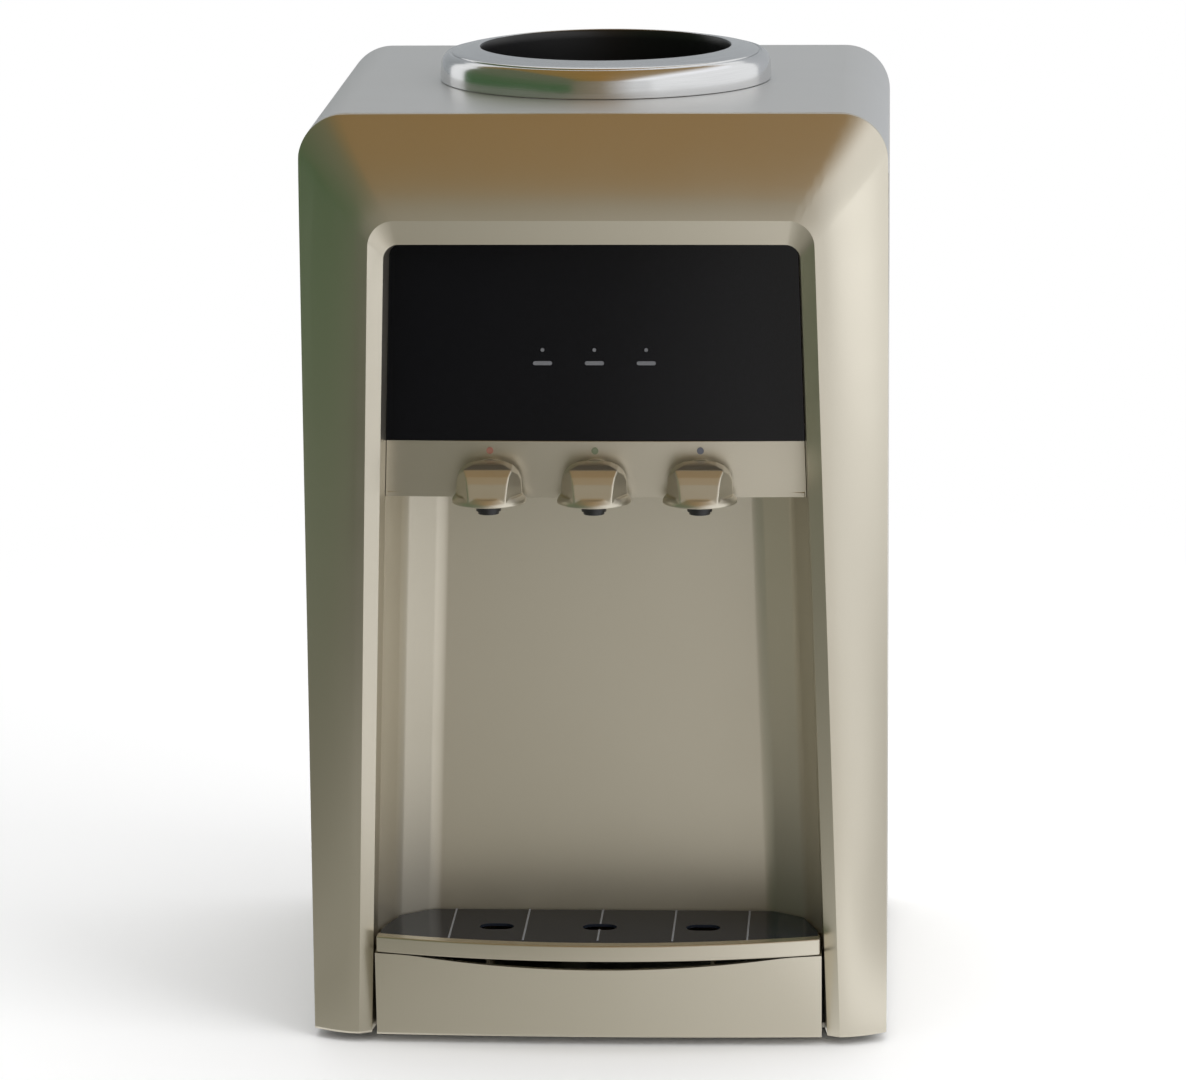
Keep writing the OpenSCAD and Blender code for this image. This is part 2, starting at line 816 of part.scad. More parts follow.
tap_x = [-tap_pitch, 0, tap_pitch];
tap_panel_r = bow_radius(inner_half(tap_z), tap_panel_bow);
tap_front_y = face_y - tap_panel_bow;

function tap_panel_y(x) = tap_front_y + tap_panel_r - sqrt(tap_panel_r * tap_panel_r - x * x);
function tap_panel_back_y(x) =
  let (r = tap_panel_r - tap_panel_t)
    tap_front_y + tap_panel_r - sqrt(r * r - x * x);
function tap_seat_y(x) = tap_panel_y(max(0, abs(x) - flange_r)) - seam;

// An upright wall bowed towards the front, cut to a half width
module bowed_wall(half, r, y, t, z, h) {
  translate([0, y, z])
    linear_extrude(height = h)
      intersection() {
        translate([0, r])
          difference() {
            circle(r = r, $fn = wide_fn);
            circle(r = r - t, $fn = wide_fn);
          }
        translate([-half, -over])
          square([2 * half, r]);
      }
}

module tap_panel() {
  join_y = tap_front_y + tap_panel_t - weld;
  color(champagne)
    difference() {
      union() {
        intersection() {
          bowed_wall(half_w, tap_panel_r, tap_front_y, tap_panel_t, tap_z, tap_panel_h);
          translate([0, niche_y, 0])
            rotate([90, 0, 0])
              linear_extrude(height = niche_y - front_y)
                polygon([
                  [-face_half(tap_z), tap_z], [face_half(tap_z), tap_z],
                  [face_half(tap_top), tap_top], [-face_half(tap_top), tap_top]
                ]);
        }
        translate([0, 0, tap_z])
          linear_extrude(height = niche_t) {
            polygon(mirrored_plan(niche_plan(tap_z, niche_t)));
            translate([-face_half(tap_top), join_y])
              square([2 * face_half(tap_top), face_y + 2 * niche_t - join_y]);
          }
      }
      for (x = tap_x)
        translate([x, tap_front_y - over, shank_z])
          rotate([-90, 0, 0])
            cylinder(h = tap_panel_t + tap_panel_bow + over, r = shank_r + seam);
    }
}

module tap_markers() {
  color("firebrick")
    for (x = tap_x)
      translate([x, tap_panel_y(abs(x) - min(abs(x), marker_r)) - seam / 4, shank_z + marker_up])
        rotate([90, 0, 0])
          cylinder(h = seam * 3, r = marker_r);
}

// Niche
splay_angle = atan(niche_splay / niche_depth);
niche_low_z = base_z + shelf_up + seam;
niche_top_z = tap_z - seam;

// Plan of the niche's right wall at a height, moved outwards by a distance
function niche_plan(z, out) =
  let (
    half = inner_half(z),
    turn = 90 - splay_angle,
    x = half - niche_splay - niche_r * tan(turn / 2),
    y = niche_y - niche_r,
    r = niche_r + out,
    edge = [half + out * cos(splay_angle), face_y + seam + out * sin(splay_angle)]
  )
    concat(
      [edge],
      [for (a = [splay_angle, splay_angle + turn]) [x + r * cos(a), y + r * sin(a)]]
    );
function mirrored_plan(p) = concat(
  [for (i = [0:len(p) - 1]) [-p[i][0], p[i][1]]],
  [for (i = [len(p) - 1:-1:0]) p[i]]
);
function lifted(p, z) = [for (q = p) [q[0], q[1], z]];

module niche_liner() {
  levels = [niche_low_z, niche_top_z];
  color(champagne)
    lofted_shell(
      [for (z = levels) lifted(mirrored_plan(niche_plan(z, 0)), z)],
      [for (z = levels) lifted(mirrored_plan(niche_plan(z, niche_t)), z)]
    );
}

// Drip tray
shelf_top = base_z + shelf_up;
tray_z = shelf_top + run_gap;
tray_top = tray_z + tray_h;
lip_half = inner_half(tray_top) - tray_gap - seam;
lip_r = bow_radius(lip_half, lip_bow);
lip_steps = 32;
grille_top = tray_top - grille_drop;
ledge_z = grille_top - grille_t - run_gap;

// Plan of the tray, drawn in by one distance at the sides and rear and another at the front
function tray_plan(inset, front_inset) =
  let (
    wall = niche_plan(tray_top, -tray_gap - seam - inset),
    half = lip_half - inset,
    r = lip_r - front_inset,
    arc = [for (i = [0:lip_steps])
      let (x = mix(half, -half, i / lip_steps))
        [x, front_y + lip_r - sqrt(r * r - x * x)]],
    side = [for (i = [1:len(wall) - 1]) wall[i]]
  )
    concat(
      arc,
      [[-half, face_y]],
      [for (q = side) [-q[0], q[1]]],
      [for (i = [len(side) - 1:-1:0]) side[i]],
      [[half, face_y]]
    );

module tray_layer(z0, z1, inset, front_inset) {
  translate([0, 0, z0])
    linear_extrude(height = z1 - z0)
      polygon(tray_plan(inset, front_inset));
}

module tray_shelf() {
  low = shelf_top - sheet_t;
  leg_x = inner_half_low / 2;
  color(champagne) {
    tray_layer(low, shelf_top, lower_t + seam, shelf_set);
    translate([0, 0, low])
      linear_extrude(height = sheet_t)
        polygon(mirrored_plan(niche_plan(shelf_top, niche_t)));
    for (s = [-1, 1])
      translate([s * leg_x - sheet_t / 2, face_y + frame_t, deck_z + seam])
        cube([sheet_t, niche_depth - frame_t, low - deck_z]);
  }
}

module drip_tray() {
  color(champagne)
    difference() {
      tray_layer(tray_z, tray_top, 0, 0);
      tray_layer(tray_z + tray_floor, ledge_z + over, tray_wall + ledge_w, lip_t + ledge_w);
      tray_layer(ledge_z, tray_top + over, -over, lip_t);
    }
}

module drip_grille() {
  back_y = niche_y - tray_gap - seam - grille_in;
  slot_y = mix(front_y + lip_t, back_y, 0.5);
  rib_l = (back_y - front_y - lip_t) * 0.9;
  color(gloss_black)
    difference() {
      union() {
        tray_layer(ledge_z + run_gap, grille_top, grille_in, lip_t + run_gap);
        intersection() {
          tray_layer(grille_top - weld, grille_top + rib_h, grille_in, lip_t + run_gap);
          for (i = [-2:2])
            translate([i * rib_pitch - rib_w / 2, back_y - rib_l, grille_top - weld])
              cube([rib_w, rib_l, rib_h + weld]);
        }
      }
      for (x = tap_x)
        drain_slot(x, slot_y, drain_l);
    }
}

module drain_slot(x, y, l) {
  translate([x, y, ledge_z - over])
    linear_extrude(height = grille_t + run_gap + 2 * over) {
      square([l - drain_w, drain_w], center = true);
      for (s = [-1, 1])
        translate([s * (l - drain_w) / 2, 0])
          circle(r = drain_w / 2);
    }
}

// Lower panel
lower_top = shelf_top;
lower_half = inner_half(lower_top) - seam;
lower_r = bow_radius(lower_half, lower_bow);
lower_foot_r = bow_radius(lower_half, lower_foot_bow);
lower_steps = 32;
tongue_half = lower_half - lower_t - seam;
tongue_y = front_y + lower_set + lower_lean + lower_foot_bow + lower_t + seam;

function finger_dip(x) = finger_h * max(0, 1 - pow(2 * x / finger_w, 2));
// One edge of the panel, upper or lower, moved inwards by a distance
function lower_edge(upper, in) =
  let (
    half = lower_half - in,
    y = front_y + lower_set + (upper ? 0 : lower_lean) + in,
    r = upper ? lower_r : lower_foot_r
  )
    concat(
      [[-half, face_y - seam, upper ? lower_top : base_z]],
      [for (i = [0:lower_steps])
        let (x = mix(-half, half, i / lower_steps))
          [x, y + r - sqrt(r * r - x * x), upper ? lower_top - finger_dip(x) : base_z]],
      [[half, face_y - seam, upper ? lower_top : base_z]]
    );

module lower_front_panel() {
  color(champagne)
    lofted_shell(
      [for (upper = [false, true]) lower_edge(upper, 0)],
      [for (upper = [false, true]) lower_edge(upper, lower_t)]
    );
}

// Bottle seat
bore_top = rim_z - lead_in;
bore_low = bore_top - bore_l;
step_r = bore_r - seat_step;
step_low = bore_low - seat_step_h;
ledge_r = step_r - seat_ledge;
collar_low = step_low - seat_rim_t;
collar_side = collar_r - bore_r;

module bottle_collar() {
  tube_r = bore_r + collar_t;
  color(chrome)
    translate([0, collar_y, 0])
      rotate_extrude($fn = wide_fn)
        polygon([
          [ledge_r, collar_low], [tube_r, collar_low], [tube_r, body_h + seam],
          [tube_r, body_h + collar_rise / 2],
          [collar_r - collar_t - collar_side / 5, body_h + collar_rise / 2],
          [collar_r - collar_t, body_h + seam], [collar_r, body_h + seam],
          [collar_r - collar_side / 40, body_h + collar_rise * 0.55],
          [collar_r - collar_side / 9, body_h + collar_rise * 0.77],
          [collar_r - collar_side / 4, body_h + collar_rise * 0.85],
          [bore_r + collar_side / 14, rim_z],
          [bore_r + collar_side / 40, rim_z - lead_in * 0.3],
          [bore_r, bore_top], [bore_r, bore_low],
          [step_r, bore_low], [step_r, step_low], [ledge_r, step_low]
        ]);
}

seat_z = step_low + run_gap;
cup_r = ledge_r - run_gap - seat_t;
cup_low = seat_z - cup_h;
cone_low = cup_low - cone_h;
neck_low = cone_low - neck_h;
neck_out_r = neck_r + seat_t;

module turned(profile) {
  rotate_extrude($fn = wide_fn)
    polygon(profile);
}

// One ring of the seat's wall, from one height and inner radius up to another
module seat_ring(low, low_r, top, top_r) {
  turned([[low_r, low], [low_r + seat_t, low], [top_r + seat_t, top], [top_r, top]]);
}

// Cup, cone, neck and floor of the seat, which are moulded apart and joined at their seams
module bottle_seat() {
  rim_top = seat_z + seat_rim_t;
  floor_low = neck_low - seat_t;
  color(gloss_black)
    translate([0, collar_y, 0]) {
      turned([
        [cup_r, cup_low + seam], [cup_r + seat_t, cup_low + seam], [cup_r + seat_t, seat_z],
        [step_r - run_gap, seat_z], [step_r - run_gap, rim_top], [cup_r, rim_top]
      ]);
      seat_ring(cone_low + seam, neck_r, cup_low, cup_r);
      seat_ring(neck_low + seam, neck_r, cone_low, neck_r);
      difference() {
        translate([0, 0, floor_low])
          cylinder(h = seat_t, r = neck_r + seat_t);
        translate([0, 0, floor_low - over])
          cylinder(h = seat_t + 2 * over, r = spike_r + seam);
        for (a = [45:90:315])
          rotate([0, 0, a])
            translate([(spike_r + neck_r) / 2, 0, floor_low - over])
              cylinder(h = seat_t + 2 * over, r = feed_r);
      }
    }
}

module feed_spike() {
  tip = neck_low + spike_h;
  root = neck_low - 2 * seat_t;
  color(clear_plastic)
    translate([0, collar_y, 0])
      difference() {
        union() {
          translate([0, 0, root])
            cylinder(h = tip - spike_r - root, r = spike_r);
          translate([0, 0, tip - spike_r])
            sphere(r = spike_r);
          translate([0, 0, root])
            cylinder(h = seat_t - seam, r = spike_r + seat_t);
        }
        translate([0, 0, root - over])
          cylinder(h = tip - 2 * spike_r - root + over, r = spike_bore);
        for (a = [0, 90])
          rotate([0, 0, a])
            translate([0, 0, tip - 3 * spike_r])
              rotate([90, 0, 0])
                cylinder(h = 3 * spike_r, r = spike_bore / 2, center = true);
      }
}

lid_z = neck_low - seat_t + neck_dip;
reservoir_h = lid_z - reservoir_z;

module seat_gasket() {
  color(rubber_black)
    translate([0, collar_y, lid_z + lid_t])
      difference() {
        cylinder(h = gasket_t, r = neck_out_r + gasket_w);
        translate([0, 0, -over])
          cylinder(h = gasket_t + 2 * over, r = neck_out_r + run_gap);
      }
}

// Taps, each drawn about the middle of its flange's seat
barrel_top = -barrel_drop;
barrel_low = barrel_top - barrel_h;
nozzle_low = barrel_low - nozzle_h;
bridge_z = barrel_top - seam - bridge_r;
guide_low = barrel_top - guide_h;
lug_x = knuckle_w / 2 + run_gap;
pin_half = lug_x + lug_t;
lip_low = lever_up - lever_h;

module at_tap(x) {
  translate([x, tap_seat_y(x), shank_z])
    children();
}

module along_y(y, l, r) {
  translate([0, y, 0])
    rotate([-90, 0, 0])
      cylinder(h = l, r = r);
}

module tap_body(x) {
  lug_l = pin_reach + knuckle_r - weld;
  foot_low = bridge_z - bridge_r - seam;
  color(champagne)
    at_tap(x)
      difference() {
        union() {
          along_y(-flange_t, flange_t, flange_r);
          translate([-flange_foot_w / 2, -flange_t, foot_low])
            cube([flange_foot_w, flange_t, -foot_low]);
          along_y(-weld, shank_l + weld, shank_r);
          along_y(shank_l - weld, barb_l + weld, stub_r);
          translate([0, 0, bridge_z])
            along_y(-barrel_reach, barrel_reach - weld, bridge_r);
          translate([0, -barrel_reach, barrel_low])
            cylinder(h = barrel_h, r = barrel_r);
          translate([0, -barrel_reach, nozzle_low])
            cylinder(h = nozzle_h + weld, r = nozzle_r);
          for (s = [-1, 1])
            translate([s * (lug_x + lug_t / 2) - lug_t / 2, -lug_l, pin_up - knuckle_r])
              cube([lug_t, lug_l - flange_t / 2, 2 * knuckle_r - weld]);
        }
        along_y(0, shank_l - weld, way_r);
        along_y(shank_l - weld - over, barb_l + weld + 2 * over, stub_r - over);
        translate([0, -barrel_reach, nozzle_low - over])
          cylinder(h = guide_low - nozzle_low + over, r = outlet_r);
        translate([0, -barrel_reach, guide_low - over])
          cylinder(h = guide_h + 2 * over, r = stem_r + shaft_gap);
        translate([-pin_half - over, -pin_reach, pin_up])
          rotate([0, 90, 0])
            cylinder(h = 2 * (pin_half + over), r = pin_r + shaft_gap / 2);
      }
}

module hot_tap_body() {
  tap_body(tap_x[0]);
}

module ambient_tap_body() {
  tap_body(tap_x[1]);
}

module cold_tap_body() {
  tap_body(tap_x[2]);
}

// Lip, front and side of a lever: [share of the lip's radius, share of the height]
lever_lip = [[1, 0.02], [0.985, 0.09], [0.9, 0.2]];
lever_front = [[0.84, 0.2], [0.79, 0.38], [0.74, 0.57], [0.66, 0.74], [0.5, 0.89], [0.29, 0.97], [0.1, 1]];
lever_side = [[0.88, 0.2], [0.86, 0.57], [0.79, 0.74], [0.64, 0.89], [0.44, 0.97], [0.24, 1]];
function lever_edge(shares, inset) =
  [for (p = shares) [lever_r * p[0] - inset, lip_low + (lever_h - inset) * p[1]]];

// Wedge with a flat front, narrower in front, as far inside the lever's skin as the inset
module lever_wedge(inset, low) {
  side = lever_edge(lever_side, inset);
  front = lever_edge(lever_front, inset);
  reach = lever_reach + lever_r;
  nose = lever_nose - inset;
  root = nose + reach * tan(lever_flank);
  intersection() {
    rotate([90, 0, 0])
      linear_extrude(reach)
        polygon(concat(
          [[-side[0][0], low], [side[0][0], low]],
          side,
          [for (i = [len(side) - 1:-1:0]) [-side[i][0], side[i][1]]]
        ));
    translate([lever_r, 0, 0])
      rotate([90, 0, -90])
        linear_extrude(2 * lever_r)
          polygon(concat(
            [[0, low], [lever_reach + front[0][0], low]],
            [for (p = front) [lever_reach + p[0], p[1]]],
            [[0, lever_up - inset]]
          ));
    translate([0, 0, low])
      linear_extrude(lever_up - low)
        polygon([[-root, 0], [root, 0], [nose, -reach], [-nose, -reach]]);
  }
}

// Flared foot of the wedge, closed above
module lever_foot(inset, low) {
  edge = [for (p = lever_lip) [lever_r * p[0] - inset, lip_low + lever_h * p[1] - inset]];
  translate([0, -lever_reach, 0])
    rotate_extrude()
      polygon(concat([[0, low], [edge[0][0], low]], edge, [[0, edge[len(edge) - 1][1]]]));
}

module lever(x) {
  arm_top = lever_up - lever_t + weld;
  color(champagne)
    at_tap(x)
      difference() {
        union() {
          difference() {
            union() {
              lever_foot(0, lip_low);
              lever_wedge(0, lip_low);
            }
            lever_foot(lever_t, lip_low - lever_t - over);
            lever_wedge(lever_t, lip_low - lever_t - over);
            translate([-2 * lever_r, -lever_back, lip_low - over])
              cube([4 * lever_r, 2 * lever_r, lever_h + 2 * over]);
          }
          translate([-knuckle_w / 2, -pin_reach, pin_up])
            rotate([0, 90, 0])
              cylinder(h = knuckle_w, r = knuckle_r);
          translate([-knuckle_w / 2, -lever_reach, pin_up - pin_r])
            cube([knuckle_w, lever_reach - pin_reach, arm_top - pin_up + pin_r]);
        }
        translate([-knuckle_w, -pin_reach, pin_up])
          rotate([0, 90, 0])
            cylinder(h = 2 * knuckle_w, r = pin_r + shaft_gap);
      }
}

module hot_lever() {
  lever(tap_x[0]);
}

module ambient_lever() {
  lever(tap_x[1]);
}

module cold_lever() {
  lever(tap_x[2]);
}

stem_top = lever_up - lever_t - 3 * run_gap;
stem_low = guide_low + run_gap;
stem_collar_z = barrel_top + stem_collar_up;

module stem(x) {
  color(steel)
    at_tap(x)
      translate([0, -barrel_reach, 0]) {
        translate([0, 0, stem_low])
          cylinder(h = stem_top - stem_r - stem_low, r = stem_r);
        translate([0, 0, stem_top - stem_r])
          sphere(r = stem_r);
        translate([0, 0, stem_collar_z])
          cylinder(h = stem_collar_t, r = stem_collar_r);
      }
}

module hot_stem() {
  stem(tap_x[0]);
}

module ambient_stem() {
  stem(tap_x[1]);
}

module cold_stem() {
  stem(tap_x[2]);
}

spring_low = barrel_top + wire_r + seam / 2;
spring_high = stem_collar_z - wire_r - run_gap;
spring_r = (stem_r + stem_collar_r) / 2 + wire_r / 2;
function coil(turns) = [
  for (i = [0:turns * tube_sides])
    let (a = 360 * i / tube_sides)
      [spring_r * cos(a), spring_r * sin(a), mix(spring_low, spring_high, i / (turns * tube_sides))]
];

module spring(x) {
  color(steel)
    at_tap(x)
      translate([0, -barrel_reach, 0])
        swept_rod(coil(spring_turns), wire_r);
}

module hot_spring() {
  spring(tap_x[0]);
}

module ambient_spring() {
  spring(tap_x[1]);
}

module cold_spring() {
  spring(tap_x[2]);
}

module lever_pins() {
  color(steel)
    for (x = tap_x)
      at_tap(x)
        translate([-pin_half, -pin_reach, pin_up])
          rotate([0, 90, 0])
            cylinder(h = 2 * pin_half, r = pin_r);
}

module tap_nuts() {
  color(clear_plastic)
    for (x = tap_x)
      translate([x, tap_panel_back_y(abs(x) + nut_r) + seam, shank_z])
        rotate([-90, 0, 0])
          difference() {
            cylinder(h = nut_t, r = nut_r, $fn = 6);
            translate([0, 0, -over])
              cylinder(h = nut_t + 2 * over, r = shank_r + seam);
          }
}

// Water circuit
foam_r = reservoir_r + foam_t;
cold_x = tap_pitch * 0.8;
// Outlet stubs leave the foam this far in front of the reservoir's axis
function outlet_y(x) = collar_y - sqrt(foam_r * foam_r - x * x) - hose_r;
cold_outlet = [cold_x, outlet_y(cold_x), shank_z];
ambient_outlet = [0, outlet_y(0), reservoir_z + reservoir_t + baffle_up + 4 * hose_r];
inlet_x = tank_x + tank_r + hose_r;
feed_x = inlet_x + stub_l + 2 * hose_bend;
feed_y = tank_y;
hot_x = tank_x;
shelf_front_y = niche_y + 2 * niche_t + 2 * seam;
hot_y = max(collar_y - reservoir_r - foam_t / 2 + niche_t, shelf_front_y + 2 * hose_r);

module mid_shelf() {
  color(steel)
    difference() {
      union() {
        translate([-pan_half, shelf_front_y, shelf_z - sheet_t])
          cube([2 * pan_half, pan_back_y - shelf_front_y, sheet_t]);
        for (s = [-1, 1])
          translate([s * (pan_half - sheet_t / 2) - sheet_t / 2, shelf_front_y, shelf_z - flange_w])
            cube([sheet_t, pan_back_y - shelf_front_y, flange_w]);
      }
      for (p = [[hot_x, hot_y], [feed_x, feed_y]])
        translate([p[0], p[1], shelf_z - sheet_t - over])
          cylinder(h = sheet_t + 2 * over, r = hose_r + over);
    }
}

module reservoir() {
  color(clear_plastic)
    difference() {
      union() {
        translate([0, collar_y, reservoir_z])
          cylinder(h = reservoir_h, r = reservoir_r, $fn = wide_fn);
        for (p = [cold_outlet, ambient_outlet])
          translate([p[0], 0, p[2]])
            along_y(p[1] - stub_l, collar_y - reservoir_r / 2 - p[1] + stub_l, stub_r);
        translate([feed_x, feed_y, shelf_z - sheet_t - stub_l])
          cylinder(h = foam_floor + sheet_t + stub_l + weld, r = stub_r);
      }
      translate([0, collar_y, reservoir_z + reservoir_t])
        cylinder(h = reservoir_h, r = reservoir_r - reservoir_t, $fn = wide_fn);
      for (p = [cold_outlet, ambient_outlet])
        translate([p[0], 0, p[2]])
          along_y(p[1] - stub_l - over, collar_y - p[1] + stub_l, stub_r - over);
      translate([feed_x, feed_y, shelf_z - sheet_t - stub_l - over])
        cylinder(h = foam_floor + sheet_t + stub_l + reservoir_t + 2 * over, r = stub_r - over);
    }
}

module reservoir_lid() {
  color(clear_plastic)
    translate([0, collar_y, lid_z])
      difference() {
        cylinder(h = lid_t, r = reservoir_r + lid_lip, $fn = wide_fn);
        translate([0, 0, -over])
          cylinder(h = lid_t + 2 * over, r = neck_out_r + run_gap);
      }
}

module reservoir_baffle() {
  color(clear_plastic)
    translate([0, collar_y, reservoir_z + reservoir_t + baffle_up])
      difference() {
        cylinder(h = baffle_t, r = reservoir_r - reservoir_t - seam, $fn = wide_fn);
        for (a = [0:60:300])
          rotate([0, 0, a])
            translate([reservoir_r * 0.7, 0, -over])
              cylinder(h = baffle_t + 2 * over, r = feed_r);
      }
}

block_y = collar_y + reservoir_r - reservoir_t - weld;
block_back_y = collar_y + reservoir_r + block_t;
foam_top = lid_z - seam;

module reservoir_foam() {
  color(foam_white)
    difference() {
      translate([0, collar_y, shelf_z])
        cylinder(h = foam_top - shelf_z, r = foam_r, $fn = wide_fn);
      translate([0, collar_y, reservoir_z])
        cylinder(h = foam_top, r = reservoir_r + seam, $fn = wide_fn);
      for (p = [cold_outlet, ambient_outlet])
        translate([p[0], 0, p[2]])
          along_y(p[1], collar_y - p[1], stub_r + seam);
      translate([feed_x, feed_y, shelf_z - over])
        cylinder(h = foam_floor + 2 * over, r = stub_r + seam);
      translate([-block_w / 2 - seam, collar_y, fan_z - block_w / 2 - seam])
        cube([block_w + 2 * seam, foam_r + over, block_w + 2 * seam]);
    }
}

tank_z = deck_z + stand_h + stand_t;
tank_top = tank_z + tank_h;
inlet_z = tank_z + tank_round + 2 * hose_r;

// Half section of the tank, drawn in by a distance
function tank_section(in) =
  let (r = tank_r - in, round_r = tank_round - in)
    concat(
      [[0, in]],
      [for (i = [0:corner_steps])
        let (a = -90 + 90 * i / corner_steps)
          [r - round_r + round_r * cos(a), tank_round + round_r * sin(a)]],
      [for (i = [0:corner_steps])
        let (a = 90 * i / corner_steps)
          [r - round_r + round_r * cos(a), tank_h - tank_round + round_r * sin(a)]],
      [[0, tank_h - in]]
    );

// The tank with its stubs and drain spout, or the water space in them
module tank_form(in, past) {
  translate([tank_x, tank_y, tank_z])
    rotate_extrude($fn = wide_fn)
      polygon(tank_section(in));
  translate([tank_x, tank_y, tank_top - tank_round])
    cylinder(h = tank_round + stub_l + past, r = stub_r - in * 2 / 3);
  translate([inlet_x - hose_r - tank_round, tank_y, inlet_z])
    rotate([0, 90, 0])
      cylinder(h = tank_round + hose_r + stub_l + past, r = stub_r - in * 2 / 3);
  translate([tank_x, tank_y, spout_z])
    cylinder(h = tank_z - spout_z + tank_round, r = spout_r - in);
  translate([tank_x, 0, spout_z])
    along_y(tank_y - spout_r + in, rear_y + spout_l - tank_y + spout_r - in + past, spout_r - in);
}

module hot_tank() {
  color(steel)
    difference() {
      tank_form(0, 0);
      tank_form(tank_t, over);
    }
}

module hot_tank_stand() {
  side = 2 * tank_r;
  color(steel)
    translate([tank_x, tank_y, deck_z])
      difference() {
        union() {
          translate([-side / 2, -side / 2, stand_h])
            cube([side, side, stand_t]);
          for (s = [-1, 1])
            translate([s * (side - stand_t) / 2 - stand_t / 2, -side / 2, 0])
              cube([stand_t, side, stand_h + weld]);
          for (s = [-1, 1])
            translate([s * (side - flange_w) / 2 - flange_w / 2, -side / 2, 0])
              cube([flange_w, side, stand_t]);
        }
        translate([0, 0, stand_h - over])
          cylinder(h = stand_t + 2 * over, r = spout_r + over);
      }
}

module heater_band() {
  color("dimgray")
    translate([tank_x, tank_y, tank_z + tank_h / 2])
      difference() {
        cylinder(h = heater_h, r = tank_r + heater_t, $fn = wide_fn);
        translate([0, 0, -over])
          cylinder(h = heater_h + 2 * over, r = tank_r + seam, $fn = wide_fn);
      }
}

module thermostats() {
  color("dimgray")
    for (s = [-1, 1])
      translate([tank_x, tank_y + s * tank_r / 2, tank_top + seam])
        cylinder(h = thermostat_h, r = thermostat_r);
}

function hose_end(x) = [x, tap_seat_y(x) + shank_l + seam, shank_z];

module cold_hose() {
  end = hose_end(tap_x[2]);
  color("lightblue")
    hose([
      cold_outlet, cold_outlet - [0, stub_l + hose_bend / 2, 0],
      end + [0, barb_l + hose_bend / 2, 0], end
    ]);
}

module ambient_hose() {
  end = hose_end(tap_x[1]);
  drop_y = (ambient_outlet[1] - stub_l + end[1] + barb_l) / 2;
  color("lightblue")
    hose([
      ambient_outlet, [0, drop_y, ambient_outlet[2]],
      [0, drop_y, shank_z], end
    ]);
}

module hot_hose() {
  end = hose_end(tap_x[0]);
  turn_z = tank_top + stub_l + 2 * hose_bend;
  color("salmon")
    hose([
      [tank_x, tank_y, tank_top + seam], [tank_x, tank_y, turn_z], [hot_x, hot_y, turn_z],
      [hot_x, hot_y, shank_z], end + [0, barb_l + hose_bend / 2, 0], end
    ]);
}

module feed_hose() {
  color("lightblue")
    hose([
      [feed_x, feed_y, shelf_z - sheet_t - seam], [feed_x, feed_y, inlet_z], [inlet_x, tank_y, inlet_z]
    ]);
}

// Cooling
sink_y = block_back_y + module_t;
fan_y = rear_in_y - fan_d;
fin_d = fan_y - sink_y - sink_base_t;
fan_bore_r = fan_w / 2 - 3;
rotor_gap = 1;

module cold_block() {
  color(steel)
    difference() {
      translate([-block_w / 2, block_y, fan_z - block_w / 2])
        cube([block_w, block_back_y - block_y, block_w]);
      translate([0, collar_y, fan_z - block_w])
        cylinder(h = 2 * block_w, r = reservoir_r + seam, $fn = wide_fn);
    }
}

module thermoelectric_module() {
  color("white")
    translate([-module_w / 2, block_back_y, fan_z - module_w / 2])
      cube([module_w, module_t, module_w]);
}

module heat_sink() {
  color(steel) {
    translate([-fan_w / 2, sink_y, fan_z - fan_w / 2])
      cube([fan_w, sink_base_t, fan_w]);
    for (i = [0:fin_count - 1])
      translate([mix(-fan_w / 2, fan_w / 2 - fin_t, i / (fin_count - 1)), sink_y, fan_z - fan_w / 2])
        cube([fin_t, sink_base_t + fin_d, fan_w]);
  }
}

module fan_frame() {
  color(rubber_black)
    translate([0, 0, fan_z])
      difference() {
        union() {
          difference() {
            translate([-fan_w / 2, fan_y, -fan_w / 2])
              cube([fan_w, fan_d, fan_w]);
            along_y(fan_y - over, fan_d + 2 * over, fan_bore_r);
          }
          along_y(rear_in_y - 2 * blade_t, 2 * blade_t, hub_r);
          for (a = [30:120:270])
            rotate([0, a, 0])
              translate([0, rear_in_y - 2 * blade_t, -blade_t])
                cube([fan_bore_r + weld, 2 * blade_t, 2 * blade_t]);
          along_y(fan_y + rotor_gap + blade_t + run_gap, fan_d - rotor_gap - 2 * blade_t - run_gap, shaft_r);
        }
        for (p = fan_screw_places)
          translate([p[0], 0, p[1] - fan_z])
            along_y(fan_y - over, fan_d + 2 * over, screw_r + seam);
      }
}

module fan_rotor() {
  hub_d = fan_d - 2 * rotor_gap - 2 * blade_t;
  color("dimgray")
    translate([0, fan_y + rotor_gap, fan_z])
      difference() {
        union() {
          along_y(0, hub_d, hub_r);
          for (i = [0:blade_count - 1])
            rotate([0, 360 * i / blade_count, 0])
              translate([hub_r - over, hub_d / 2, 0])
                rotate([blade_angle, 0, 0])
                  translate([0, -blade_t / 2, -blade_chord / 2])
                    cube([fan_bore_r - rotor_gap * 2 - hub_r + over, blade_t, blade_chord]);
        }
        along_y(blade_t, hub_d, shaft_r + shaft_gap);
      }
}

// Electrics
module power_board() {
  top = deck_z + post_h + board_t;
  color(board_green) {
    translate([board_x - board_w / 2, board_y - board_d / 2, deck_z + post_h])
      cube([board_w, board_d, board_t]);
    translate([board_x - board_w / 3, board_y - board_d / 3, top - weld])
      cube([board_w / 3, board_d / 3, board_w / 4]);
    for (i = [0:2])
      translate([board_x + board_w / 8, board_y - board_d / 3 + i * board_d / 4, top - weld])
        cube([board_w / 5, board_d / 6, board_w / 6]);
    translate([board_x - board_w / 4, board_y + board_d / 5, top - weld])
      cylinder(h = board_w / 4, r = board_d / 9);
  }
}

